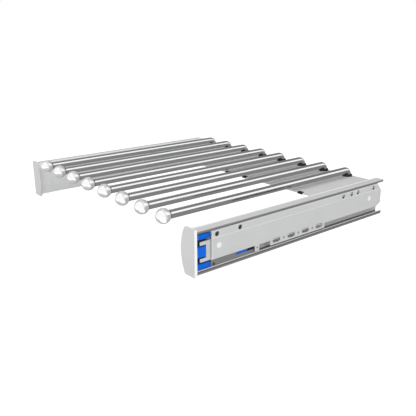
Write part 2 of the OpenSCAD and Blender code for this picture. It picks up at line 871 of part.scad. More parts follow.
// Housing of the soft close: a bore for the damper, one for the spring, and an open
// channel for the catch that runs out at the rear
module damper_housing(left) {
    color("dimgray") placed() hand(left) difference() {
        block([housing_in, damper_front, housing_low], [housing_out, damper_rear, housing_top]);
        long_pin(cylinder_front, foot_slot_rear, bore_in, cylinder_z,
            cylinder_d + 2 * fit_gap);
        long_pin(spring_front - catch_gap, catch_front, upper_bore_in, upper_bore_z,
            spring_d + 2 * spring_bore_gap);
        block([housing_in - over, catch_front - catch_gap, channel_low],
            [catch_out + catch_gap, damper_rear + over, housing_top + over]);
        block([foot_in - catch_gap, foot_front - catch_gap, cylinder_z],
            [foot_out + catch_gap, foot_slot_rear, channel_low + over]);
        for (i = [0 : 1]) {
            cross_pin(housing_in - over, housing_out + over, damper_screw_y[i],
                damper_screw_z[i], damper_screw_d + 2 * stud_hole_gap);
            cross_pin(housing_in - over, housing_in + damper_screw_head_h, damper_screw_y[i],
                damper_screw_z[i], damper_screw_head_d + 2 * stud_hole_gap);
        }
    }
}

module damper_screws() {
    color("silver") placed() both() for (i = [0 : 1])
        screw_inward(housing_in + damper_screw_head_h, damper_screw_y[i], damper_screw_z[i])
            pan_screw(damper_screw_d, web_in - housing_in - damper_screw_head_h,
                damper_screw_head_d, damper_screw_head_h);
}

module damper_cylinders() {
    color("silver") placed() both() difference() {
        long_pin(cylinder_front, cylinder_rear, bore_in, cylinder_z, cylinder_d);
        long_pin(cylinder_front + cylinder_wall, cylinder_rear - cylinder_wall, bore_in,
            cylinder_z, cylinder_d - 2 * cylinder_wall);
        long_pin(cylinder_rear - 2 * cylinder_wall, cylinder_rear + over, bore_in, cylinder_z,
            rod_pin_d + 2 * pin_gap);
    }
}

module damper_rod(left) {
    color("white") placed() hand(left) {
        long_pin(rod_pin_front, foot_front, bore_in, cylinder_z, rod_pin_d);
        long_pin(rod_pin_front - piston_l, rod_pin_front, bore_in, cylinder_z, piston_d);
    }
}

module damper_catch(left) {
    color("dodgerblue") placed() hand(left) {
        block([catch_in, catch_front, catch_low], [catch_out, catch_rear, catch_top]);
        block([foot_in, foot_front, foot_low], [foot_out, foot_rear, catch_low + over / 2]);
    }
}

// Hook behind the catch: a bar that ends in an upright face against the striker
module catch_hook(left) {
    color("black") placed() hand(left)
        block([catch_in, hook_front, catch_low], [catch_out, hook_rear, catch_low + hook_h]);
}

// Coil of round wire along Y: a tube swept round the bore's axis
module closing_spring(left) {
    steps = spring_turns * coil_steps;
    rise = (catch_front - spring_front) / steps;
    mean_r = (spring_d - spring_wire) / 2;
    points = [for (i = [0 : steps], k = [0 : coil_fn - 1])
        let (a = 360 * i / coil_steps, b = 360 * k / coil_fn,
            r = mean_r + spring_wire / 2 * cos(b))
        [r * cos(a), i * rise * wire_share + spring_wire / 2 + spring_wire / 2 * sin(b),
            r * sin(a)]];
    faces = concat(
        [[for (k = [0 : coil_fn - 1]) k]],
        [for (i = [0 : steps - 1], k = [0 : coil_fn - 1])
            let (a = i * coil_fn + k, b = i * coil_fn + (k + 1) % coil_fn)
            each [[a, a + coil_fn, b + coil_fn], [a, b + coil_fn, b]]],
        [[for (k = [coil_fn - 1 : -1 : 0]) steps * coil_fn + k]]);
    color("silver") placed() hand(left)
        translate([half_w - upper_bore_in, spring_front, upper_bore_z])
        polyhedron(points, faces);
}
coil_steps = 8;
wire_share = 0.95;

module side_profile_left() { side_profile(true); }
module side_profile_right() { side_profile(false); }
module front_cap_left() { front_cap(true); }
module front_cap_right() { front_cap(false); }
module front_block_left() { front_block(true); }
module front_block_right() { front_block(false); }
module drawer_member_left() { drawer_member(true); }
module drawer_member_right() { drawer_member(false); }
module release_lever_left() { release_lever(true); }
module release_lever_right() { release_lever(false); }
module damper_housing_left() { damper_housing(true); }
module damper_housing_right() { damper_housing(false); }
module damper_rod_left() { damper_rod(true); }
module damper_rod_right() { damper_rod(false); }
module damper_catch_left() { damper_catch(true); }
module damper_catch_right() { damper_catch(false); }
module catch_hook_left() { catch_hook(true); }
module catch_hook_right() { catch_hook(false); }
module closing_spring_left() { closing_spring(true); }
module closing_spring_right() { closing_spring(false); }
module cabinet_member_left() { cabinet_member(true); }
module cabinet_member_right() { cabinet_member(false); }
module intermediate_member_left() { intermediate_member(true); }
module intermediate_member_right() { intermediate_member(false); }
module outer_cage_left() { outer_cage(true); }
module outer_cage_right() { outer_cage(false); }
module outer_balls_left() { outer_balls(true); }
module outer_balls_right() { outer_balls(false); }
module inner_cage_left() { inner_cage(true); }
module inner_cage_right() { inner_cage(false); }
module inner_balls_left() { inner_balls(true); }
module inner_balls_right() { inner_balls(false); }
module rod_1() { rod(0); }
module rod_2() { rod(1); }
module rod_3() { rod(2); }
module rod_4() { rod(3); }
module rod_5() { rod(4); }
module rod_6() { rod(5); }
module rod_7() { rod(6); }
module rod_8() { rod(7); }

side_profile_left();
side_profile_right();
front_cap_left();
front_cap_right();
front_block_left();
front_block_right();
rear_plate();
plate_screws();
plate_edge_pads();
rod_1();
rod_2();
rod_3();
rod_4();
rod_5();
rod_6();
rod_7();
rod_8();
rod_end_balls();
rod_bushes();
rod_washers();
rod_nuts();
drawer_member_left();
drawer_member_right();
drawer_member_screws();
release_lever_left();
release_lever_right();
release_lever_pins();
damper_housing_left();
damper_housing_right();
damper_screws();
damper_cylinders();
damper_rod_left();
damper_rod_right();
damper_catch_left();
damper_catch_right();
catch_hook_left();
catch_hook_right();
closing_spring_left();
closing_spring_right();
cabinet_member_left();
cabinet_member_right();
cabinet_member_rivets();
catch_strikers();
intermediate_member_left();
intermediate_member_right();
outer_cage_left();
outer_cage_right();
outer_balls_left();
outer_balls_right();
inner_cage_left();
inner_cage_right();
inner_balls_left();
inner_balls_right();
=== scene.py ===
"""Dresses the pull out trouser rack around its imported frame.

Two side profiles with end caps carry a rear plate, and eight chrome rods with ball
ends stand on the plate. Pieces that show their shape are modelled here, the slides are
softened copies of their solids, and every piece gets a finish of its own.
Lengths in the fields are millimetres: in from the rack's outer face, back from the
cap faces, and up from the underside of the caps.
"""

import json  # noqa: E402
import logging  # noqa: E402
import math  # noqa: E402
from dataclasses import dataclass, fields  # noqa: E402
from enum import Enum  # noqa: E402
from typing import Callable, Sequence, Union  # noqa: E402

import bpy  # noqa: E402
from mathutils import Matrix, Quaternion, Vector  # noqa: E402


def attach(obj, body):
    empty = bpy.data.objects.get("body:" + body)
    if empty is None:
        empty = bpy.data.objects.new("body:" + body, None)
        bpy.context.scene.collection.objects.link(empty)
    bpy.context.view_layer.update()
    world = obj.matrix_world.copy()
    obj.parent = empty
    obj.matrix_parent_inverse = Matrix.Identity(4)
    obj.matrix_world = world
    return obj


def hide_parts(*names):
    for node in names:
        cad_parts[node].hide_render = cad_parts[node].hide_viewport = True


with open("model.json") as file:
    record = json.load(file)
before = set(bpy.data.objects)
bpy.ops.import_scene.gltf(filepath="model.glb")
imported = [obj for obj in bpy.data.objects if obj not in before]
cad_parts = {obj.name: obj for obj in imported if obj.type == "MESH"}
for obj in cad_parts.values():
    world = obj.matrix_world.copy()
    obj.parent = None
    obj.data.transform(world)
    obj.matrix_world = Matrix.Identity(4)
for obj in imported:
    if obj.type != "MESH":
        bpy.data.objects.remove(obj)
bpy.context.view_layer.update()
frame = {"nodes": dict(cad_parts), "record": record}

log = logging.getLogger("trouser_rack")

# A millimetre in metres
MM = 0.001
# Half the width over the rails, and the way from the cap faces to the frame's origin
HALF_W = 282.0
ORIGIN_DEPTH = 218.9
# Points closer than this are one, in metres
SEAM = 2e-6
# A normal or an edge lies along an axis from this share of one on
FACING = 0.9
# Edges of a fan past this share of its radius are its rim
RIM_SHARE = 0.8
# Faces within the first angle are one flat, and edges past the second are rounded
FLAT_DEGREES = 0.4
SHARP_DEGREES = 32.0

Colour = tuple[float, float, float]
Place = tuple[float, float, float]
Station = tuple[float, float]
Test = Callable[[Vector, Vector], bool]
Wired = Union["Value", float, tuple]

BODY_OF = {node: body for body, nodes in frame["record"]["behaviour"]["bodies"].items()
           for node in nodes}


class Side(Enum):
    """One hand of the rack."""

    LEFT = "left"
    RIGHT = "right"


class Axis(Enum):
    """A direction of the frame along which pieces are turned."""

    X = (1.0, 0.0, 0.0)
    Y = (0.0, 1.0, 0.0)
    Z = (0.0, 0.0, 1.0)

    @property
    def vector(self) -> Vector:
        """The axis as a unit vector."""
        return Vector(self.value)


class Part(Enum):
    """What an edit selects, as the mesh select mode of Blender."""

    EDGES = (False, True, False)
    FACES = (False, False, True)


def place(inward: float, depth: float, height: float) -> Vector:
    """Point on the right hand side of the rack, in metres of the frame.

    Args:
        inward: Distance in from the outer face, in millimetres.
        depth: Distance back from the cap faces.
        height: Distance up from the underside of the caps.

    Returns:
        The point in the frame.
    """
    return Vector((HALF_W - inward, depth - ORIGIN_DEPTH, height)) * MM


def near(value: float, target: float, within: float = 0.01) -> bool:
    """Whether two values are as good as the same."""
    return abs(value - target) < within


# Shader sheets


def operator(operation: str, swapped: bool = False) -> Callable[["Value", Wired], "Value"]:
    """A Python operator that adds one Math node.

    Args:
        operation: Blender's name of the operation.
        swapped: Whether the other value stands on the left.

    Returns:
        The operator, as a method of Value.
    """
    def method(self: "Value", other: Wired) -> "Value":
        """Adds the node."""
        return self.math(operation, *((other, self) if swapped else (self, other)))

    return method


class Value:
    """A socket in Python arithmetic."""

    __add__, __radd__ = operator("ADD"), operator("ADD", swapped=True)
    __sub__, __rsub__ = operator("SUBTRACT"), operator("SUBTRACT", swapped=True)
    __mul__ = operator("MULTIPLY")
    __gt__, __lt__ = operator("GREATER_THAN"), operator("LESS_THAN")

    def __init__(self, sheet: "Sheet", maker: bpy.types.Node, output: int | str) -> None:
        """Wraps one output of a node, if it has any.

        Args:
            sheet: The sheet that the node is on.
            maker: The node.
            output: Name or number of the output.
        """
        self.sheet = sheet
        self.maker = maker
        self.socket = maker.outputs[output] if len(maker.outputs) else None

    def other(self, output: int | str) -> "Value":
        """Another output of the same node."""
        return Value(self.sheet, self.maker, output)

    def math(self, operation: str, first: Wired, second: Wired = 0.0) -> "Value":
        """The result of a Math node with Blender's name of its operation."""
        return self.sheet.node("ShaderNodeMath", {"operation": operation},
                               {0: first, 1: second})

    def __abs__(self) -> "Value":
        """Magnitude."""
        return self.math("ABSOLUTE", self)


class Sheet:
    """The node sheet of a material or of the world."""

    def __init__(self, owner: bpy.types.ID) -> None:
        """Empties the owner's sheet.

        Args:
            owner: A material or a world.
        """
        self.owner = owner
        owner.use_nodes = True
        self.tree = owner.node_tree
        self.tree.nodes.clear()

    @classmethod
    def material(cls, name: str) -> "Sheet":
        """The empty sheet of a new material."""
        return cls(bpy.data.materials.new(name))

    def node(self, kind: str, settings: dict | None = None,
             values: dict | None = None, output: int | str = 0) -> Value:
        """Adds a node.

        Args:
            kind: Blender's type of the node.
            settings: Properties to set first; "stops" gives a ramp's positions and greys.
            values: A value or a wired socket for each input, by name or number.
            output: Name or number of the output to hand back.

        Returns:
            That output.
        """
        node = self.tree.nodes.new(kind)
        for key, setting in (settings or {}).items():
            if key == "stops":
                stops = node.color_ramp.elements
                while len(stops) < len(setting):
                    stops.new(1.0)
                for stop, (position, grey) in zip(stops, setting):
                    stop.position, stop.color = position, (grey, grey, grey, 1.0)
            else:
                setattr(node, key, setting)
        for key, value in (values or {}).items():
            if isinstance(value, Value):
                self.tree.links.new(value.socket, node.inputs[key])
            else:
                node.inputs[key].default_value = value
        return Value(self, node, output)

    def seen_rays(self) -> Value:
        """One for camera, glossy and transmission rays, and zero for the light itself.

        Returns:
            The value.
        """
        path = self.node("ShaderNodeLightPath")
        mirrored = path.math("MAXIMUM", path, path.other("Is Glossy Ray"))
        return path.math("MAXIMUM", mirrored, path.other("Is Transmission Ray"))

    def place(self, stretch: Sequence[float] = (1.0, 1.0, 1.0)) -> Value:
        """Object coordinates, with each axis multiplied by its stretch."""
        where = self.node("ShaderNodeTexCoord", output="Object")
        return self.node("ShaderNodeMapping", values={"Vector": where, "Scale": stretch})

    def axis(self, number: int) -> Value:
        """One object coordinate in millimetres: 0 for x, 1 for y, 2 for z."""
        return self.node("ShaderNodeSeparateXYZ", values={0: self.place()},
                         output=number) * (1 / MM)

    def inward(self) -> Value:
        """Distance in from the rack's nearer outer face, in millimetres."""
        return HALF_W - abs(self.axis(0))

    def depth(self) -> Value:
        """Distance back from the cap faces."""
        return self.axis(1) + ORIGIN_DEPTH

    def height(self) -> Value:
        """Distance up from the underside of the caps."""
        return self.axis(2)

    def noise(self, where: Value, scale: float, detail: float = 2.0) -> Value:
        """Noise of about 0 to 1 at a scale in cycles per metre."""
        return self.node("ShaderNodeTexNoise", values={
            "Vector": where, "Scale": scale, "Detail": detail})

    def ramp(self, value: Value, low: float, high: float) -> Value:
        """Black up to the lower value, white from the higher, and grey between."""
        return self.node("ShaderNodeValToRGB", {"stops": [(low, 0.0), (high, 1.0)]}, {0: value})

    def total(self, values: Sequence[Value], shares: Sequence[float]) -> Value:
        """Sum of values, each multiplied by its share."""
        return sum((value * share for value, share in zip(values[1:], shares[1:])),
                   values[0] * shares[0])

    def blend(self, factor: Wired, first: Wired, second: Wired) -> Value:
        """Mixes two colours by a factor."""
        # The sockets for colours share their names with others, so they go by number
        return self.node("ShaderNodeMix", {"data_type": "RGBA"},
                         {0: factor, 6: first, 7: second}, output=2)

    def bump(self, height: Value, strength: float, depth: float) -> Value:
        """Bumped normal.

        Args:
            height: Height of the surface, 0 to 1.
            strength: How strongly it shows.
            depth: Depth of a full step, in metres.

        Returns:
            The normal.
        """
        return self.node("ShaderNodeBump", values={
            "Strength": strength, "Distance": depth, "Height": height})

    def surface(self, **sockets: Wired) -> bpy.types.Material:
        """Ends the sheet in a surface shader.

        Args:
            sockets: Inputs of the shader, with _ for a space in a name.

        Returns:
            The finished material.
        """
        values = {key.replace("_", " "): value for key, value in sockets.items()}
        shader = self.node("ShaderNodeBsdfPrincipled", values=values)
        self.node("ShaderNodeOutputMaterial", values={"Surface": shader})
        return self.owner


# Finishes


@dataclass(frozen=True)
class Finish:
    """What every finish holds: a name, the record's slot and a main colour."""

    name: str
    slot: str
    colour: Colour
    roughness: float

    def material(self) -> bpy.types.Material:
        """The finish as a material, made once."""
        return bpy.data.materials.get(self.name) or self.paint(Sheet.material(self.name))

    def paint(self, sheet: Sheet) -> bpy.types.Material:
        """Lays the finish on an empty sheet."""
        raise NotImplementedError

    def tint(self, sheet: Sheet, colour: Value) -> Value:
        """Last word on the colour, for finishes with marked areas."""
        return colour

    def shade(self, share: float) -> tuple[float, ...]:
        """The main colour with each part multiplied by a share, and full alpha."""
        return (*(part * share for part in self.colour), 1.0)

    def between(self, sheet: Sheet, tone: Value, low: float, high: float) -> Value:
        """From one share of the main colour to another, by a tone of 0 to 1."""
        return sheet.blend(tone, self.shade(low), self.shade(high))

    def mark(self, sheet: Sheet, where: Value, colour: Value, share: float) -> Value:
        """The colour, with a share of the main colour where a value is one."""
        return sheet.blend(where, colour, self.shade(share))


@dataclass(frozen=True)
class DrawnMetal(Finish):
    """Metal with fine lines along the way that it was drawn or rolled."""

    lines: float = 1500.0
    line_stretch: float = 0.012
    line_depth: float = 6e-6
    coarse_share: float = 0.2
    coarse_relief: float = 0.5
    cloud: float = 38.0
    tone_shares: tuple[float, ...] = (0.4, 0.25, 0.35)
    tone_limits: tuple[float, float] = (0.3, 0.7)
    mottle: float = 0.05
    rough_shares: tuple[float, float] = (0.07, 0.05)
    relief: float = 0.5
    metallic: float = 1.0

    def paint(self, sheet: Sheet) -> bpy.types.Material:
        """Lines and a soft mottle in colour, roughness and height.

        Args:
            sheet: The material's sheet.

        Returns:
            The finished material.
        """
        along = sheet.place((1.0, self.line_stretch, 1.0))
        lines = sheet.noise(along, self.lines, detail=3.0)
        coarse = sheet.noise(along, self.lines * self.coarse_share)
        cloud = sheet.noise(sheet.place(), self.cloud, detail=4.0)
        tone = sheet.ramp(sheet.total((lines, coarse, cloud), self.tone_shares),
                          *self.tone_limits)
        colour = self.between(sheet, tone, 1 - self.mottle, 1 + self.mottle)
        rough = sheet.total((lines, cloud), self.rough_shares)
        return sheet.surface(
            Base_Color=self.tint(sheet, colour), Metallic=self.metallic,
            Roughness=rough + (self.roughness - sum(self.rough_shares) / 2),
            Normal=sheet.bump(lines + coarse * self.coarse_relief, self.relief,
                              self.line_depth))


@dataclass(frozen=True)
class LippedAluminium(DrawnMetal):
    """Anodised extrusion with painted shade: outer lips darker than its skin and flanges, and a
    darker slide bay; its skin gets painted light.
    """

    middle: float = 36.55
    skin_share: float = 1.35
    skin_half: float = 35.0
    bay_share: float = 0.95
    bay_in: float = 14.6
    bay_half: float = 32.1
    corner_share: float = 0.28
    corner_high: float = 7.7
    front_share: float = 0.05
    front_end: float = 33.0
    lip_in: float = 3.2
    lip_half: float = 33.2
    lip_edge: float = 27.8
    lip_deep_share: float = 0.1
    lip_pale_share: float = 0.5

    def tint(self, sheet: Sheet, colour: Value) -> Value:
        """Paints shade on the lips and the slide's bay, its low corner and its front end, and
        paints light on the inner skin.

        Args:
            sheet: The material's sheet.
            colour: Its colour so far.

        Returns:
            The colour with the darker areas.
        """
        inward, height = sheet.inward(), sheet.height()
        up = abs(height - self.middle)
        in_bay = (inward < self.bay_in) * (inward > self.lip_in) * (up < self.bay_half)
        # Painted light on the inner skin; painted shade in the bay, and a painted shadow in its
        # low corner and at its front end
        for where, share in (
                ((inward > self.bay_in) * (up < self.skin_half), self.skin_share),
                (in_bay, self.bay_share),
                (in_bay * (height < self.corner_high), self.corner_share),
                (in_bay * (sheet.depth() < self.front_end), self.front_share)):
            colour = self.mark(sheet, where, colour, share)
        # The lips are painted in shade, paler towards their rounded far edge, as if light falls
        # there
        drop = (up - self.lip_edge) * (1 / (self.lip_half - self.lip_edge))
        lip = self.between(sheet, drop, self.lip_deep_share, self.lip_pale_share)
        on_lip = (inward < self.lip_in) * (up > self.lip_edge) * (up < self.lip_half)
        return sheet.blend(on_lip, colour, lip)


@dataclass(frozen=True)
class BeadedSheet(DrawnMetal):
    """Rolled sheet with a painted highlight along its one bead and painted light on its cut front
    edge.
    """

    bead: float = 53.9
    bead_half: float = 0.9
    bead_share: float = 1.16
    edge_end: float = 31.55
    edge_share: float = 1.55

    def tint(self, sheet: Sheet, colour: Value) -> Value:
        """Paints a highlight along the bead and light on the front edge.

        Args:
            sheet: The material's sheet.
            colour: Its colour so far.

        Returns:
            The colour with both painted bright lines.
        """
        # Painted highlight along the bead, and painted light on the front edge against its shade
        on_bead = abs(sheet.height() - self.bead) < self.bead_half
        colour = self.mark(sheet, on_bead, colour, self.bead_share)
        return self.mark(sheet, sheet.depth() < self.edge_end, colour, self.edge_share)


@dataclass(frozen=True)
class ShadeBandSheet(DrawnMetal):
    """Rolled sheet with a band of painted shade beside each ball track."""

    middle: float = 42.9
    grease: tuple[float, float] = (11.5, 15.5)
    grease_share: float = 0.03
    start: float = 0.0

    def tint(self, sheet: Sheet, colour: Value) -> Value:
        """Paints shade in both bands, from the start on.

        Args:
            sheet: The material's sheet.
            colour: Its colour so far.

        Returns:
            The colour with the painted shade bands.
        """
        up = abs(sheet.height() - self.middle)
        in_band = (up > self.grease[0]) * (up < self.grease[1]) * (sheet.depth() > self.start)
        return self.mark(sheet, in_band, colour, self.grease_share)


@dataclass(frozen=True)
class PolishedPlate(Finish):
    """Bright plating: faint polishing lines and a trace of handling haze."""

    lines: float = 2600.0
    line_stretch: float = 0.02
    line_depth: float = 1.2e-6
    line_rough: float = 0.03
    relief: float = 0.25
    patches: float = 55.0
    patch_shares: tuple[float, float] = (0.97, 1.02)
    haze: float = 0.05
    metallic: float = 1.0

    def paint(self, sheet: Sheet) -> bpy.types.Material:
        """A mirror that is a little softer in patches.

        Args:
            sheet: The material's sheet.

        Returns:
            The finished material.
        """
        lines = sheet.noise(sheet.place((1.0, self.line_stretch, 1.0)), self.lines)
        patches = sheet.noise(sheet.place(), self.patches, detail=3.0)
        colour = self.between(sheet, patches, *self.patch_shares)
        rough = patches * self.haze + lines * self.line_rough + self.roughness
        return sheet.surface(Base_Color=self.tint(sheet, colour), Metallic=self.metallic,
                             Roughness=rough,
                             Normal=sheet.bump(lines, self.relief, self.line_depth))


@dataclass(frozen=True)
class NeckedPlate(PolishedPlate):
    """Bright plating of a ball, with painted shade on its neck."""

    neck_from: float = 8.3
    neck_share: float = 0.1

    def tint(self, sheet: Sheet, colour: Value) -> Value:
        """Paints shade on the neck behind the ball."""
        return self.mark(sheet, sheet.depth() > self.neck_from, colour, self.neck_share)


@dataclass(frozen=True)
class SatinCoat(Finish):
    """Satin coat on metal or plastic: orange peel, fine speckle and a soft mottle."""

    peel: float = 900.0
    peel_depth: float = 1.6e-5
    relief: float = 0.35
    speckle: float = 5200.0
    cloud: float = 24.0
    tone_shares: tuple[float, float] = (0.45, 0.55)
    tone_limits: tuple[float, float] = (0.32, 0.68)
    mottle_shares: tuple[float, float] = (0.965, 1.03)
    rough_shares: tuple[float, float] = (0.05, 0.06)
    gloss: float = 0.5

    def paint(self, sheet: Sheet) -> bpy.types.Material:
        """Peel in the height, speckle in the colour.

        Args:
            sheet: The material's sheet.

        Returns:
            The finished material.
        """
        peel = sheet.noise(sheet.place(), self.peel)
        speckle = sheet.noise(sheet.place(), self.speckle, detail=1.0)
        cloud = sheet.noise(sheet.place(), self.cloud, detail=4.0)
        tone = sheet.ramp(sheet.total((speckle, cloud), self.tone_shares), *self.tone_limits)
        colour = self.between(sheet, tone, *self.mottle_shares)
        rough = sheet.total((peel, cloud), self.rough_shares)
        return sheet.surface(
            Base_Color=self.tint(sheet, colour), Specular_IOR_Level=self.gloss,
            Roughness=rough + (self.roughness - sum(self.rough_shares) / 2),
            Normal=sheet.bump(peel, self.relief, self.peel_depth))


@dataclass(frozen=True)
class EdgedCoat(SatinCoat):
    """Satin coat with painted light on the narrow faces at the rack's outer sides."""

    edge_in: float = 1.0
    edge_share: float = 1.4

    def tint(self, sheet: Sheet, colour: Value) -> Value:
        """Paints light on the outer sides."""
        return self.mark(sheet, sheet.inward() < self.edge_in, colour, self.edge_share)


@dataclass(frozen=True)
class MouldedPlastic(Finish):
    """Moulded plastic: eroded mould texture, flow marks and rubbed high spots."""

    grain: float = 2400.0
    grain_depth: float = 1.4e-5
    grain_rough: float = 0.08
    relief: float = 0.4
    flow: float = 110.0
    flow_stretch: float = 0.25
    flow_spread: float = 0.1
    rubbed: float = 60.0
    rubbed_limits: tuple[float, float] = (0.45, 0.7)
    rubbed_smooth: float = 0.07
    gloss: float = 0.3

    def paint(self, sheet: Sheet) -> bpy.types.Material:
        """Grain in the height, flow marks in the colour.

        Args:
            sheet: The material's sheet.

        Returns:
            The finished material.
        """
        grain = sheet.noise(sheet.place(), self.grain)
        flow = sheet.noise(sheet.place((1.0, self.flow_stretch, 1.0)), self.flow, detail=4.0)
        rubbed = sheet.ramp(sheet.noise(sheet.place(), self.rubbed, detail=3.0),
                            *self.rubbed_limits)
        colour = self.between(sheet, flow, 1 - self.flow_spread, 1 + self.flow_spread)
        rough = grain * self.grain_rough - rubbed * self.rubbed_smooth + self.roughness
        return sheet.surface(Base_Color=colour, Roughness=rough,
                             Specular_IOR_Level=self.gloss,
                             Normal=sheet.bump(grain, self.relief, self.grain_depth))


@dataclass(frozen=True)
class TurnedSteel(Finish):
    """Zinc plated small parts: a warm and a cold cast, tool marks and a dull bloom."""

    marks: float = 1900.0
    mark_depth: float = 5e-6
    mark_rough: float = 0.1
    relief: float = 0.35
    cast: float = 140.0
    cast_limits: tuple[float, float] = (0.35, 0.65)
    cast_smooth: float = 0.04
    cold_share: float = 0.97
    warm_shares: Colour = (1.03, 1.0, 0.93)

    def paint(self, sheet: Sheet) -> bpy.types.Material:
        """Two casts of zinc and a fine grain.

        Args:
            sheet: The material's sheet.

        Returns:
            The finished material.
        """
        marks = sheet.noise(sheet.place(), self.marks)
        cast = sheet.ramp(sheet.noise(sheet.place(), self.cast, detail=3.0), *self.cast_limits)
        warm = (part * share for part, share in zip(self.colour, self.warm_shares))
        colour = sheet.blend(cast, self.shade(self.cold_share), (*warm, 1.0))
        rough = marks * self.mark_rough - cast * self.cast_smooth + self.roughness
        return sheet.surface(Base_Color=colour, Metallic=1.0, Roughness=rough,
                             Normal=sheet.bump(marks, self.relief, self.mark_depth))


@dataclass(frozen=True)
class Palette:
    """All finishes of the rack."""

    profile: Finish = LippedAluminium("profile_anodised", "profile_aluminium",
                                      (0.61, 0.613, 0.617), 0.44, cloud=30.0,
                                      metallic=0.12)
    cap: Finish = EdgedCoat("cap_satin_grey", "cap_grey", (0.64, 0.64, 0.64), 0.42)
    # The collar's grey is lifted to match the painted light on the profile's skin
    collar: Finish = SatinCoat("collar_satin_grey", "cap_grey", (0.8, 0.8, 0.8), 0.42)
    blue: Finish = MouldedPlastic("moulded_blue", "blue_plastic", (0.0, 0.13, 0.68), 0.48,
                                  gloss=0.2)
    plate: Finish = SatinCoat("plate_satin_grey", "plate_grey", (0.58, 0.58, 0.585), 0.42,
                              gloss=0.15)
    chrome: Finish = PolishedPlate("rod_bright_plating", "rod_chrome",
                                   (0.95, 0.953, 0.957), 0.03)
    ball: Finish = NeckedPlate("ball_bright_plating", "rod_chrome", (0.93, 0.93, 0.935), 0.05,
                               metallic=0.6)
    black: Finish = MouldedPlastic("moulded_black", "black_plastic", (0.012, 0.012, 0.013), 0.42)
    rubber: Finish = MouldedPlastic("clip_rubber", "black_rubber", (0.011, 0.011, 0.012), 0.6,
                                    grain=1500.0, grain_depth=3e-5)
    slide: Finish = BeadedSheet("slide_zinc_sheet", "slide_steel", (0.62, 0.623, 0.627), 0.42,
                                line_depth=4e-6, metallic=0.12)
    # Both inner members carry bands of painted shade beside their ball tracks
    drawer: Finish = ShadeBandSheet("slide_inner_zinc", "slide_steel", (0.62, 0.623, 0.627), 0.42,
                                  line_depth=4e-6, metallic=0.12, grease=(8.0, 14.0),
                                  start=36.0)
    race: Finish = ShadeBandSheet("slide_inner_sheet", "slide_steel", (0.7, 0.705, 0.71), 0.34,
                                metallic=0.3)
    bearing: Finish = PolishedPlate("bearing_polish", "ball_steel", (0.78, 0.79, 0.8), 0.08)
    fastener: Finish = TurnedSteel("fastener_zinc", "fastener_steel", (0.62, 0.63, 0.64), 0.3)
    # The rivet's near white colour is a painted highlight that stands in for its glint
    rivet: Finish = PolishedPlate("rivet_painted_glint", "fastener_steel", (0.93, 0.93, 0.93), 0.2,
                                  metallic=0.15)
    dark_screw: Finish = TurnedSteel("screw_blackened", "fastener_steel",
                                     (0.16, 0.16, 0.165), 0.45)
    damper: Finish = MouldedPlastic("moulded_grey", "damper_grey", (0.2, 0.2, 0.205), 0.45)
    spring: Finish = TurnedSteel("spring_wire", "spring_steel", (0.5, 0.51, 0.52), 0.28)


PALETTE = Palette()


# Workpieces


def leave_edit() -> None:
    """Goes back to object mode."""
    bpy.ops.object.mode_set(mode="OBJECT")


def set_down() -> None:
    """Leaves edit mode and deselects everything."""
    if bpy.context.object and bpy.context.object.mode != "OBJECT":
        leave_edit()
    bpy.ops.object.select_all(action="DESELECT")


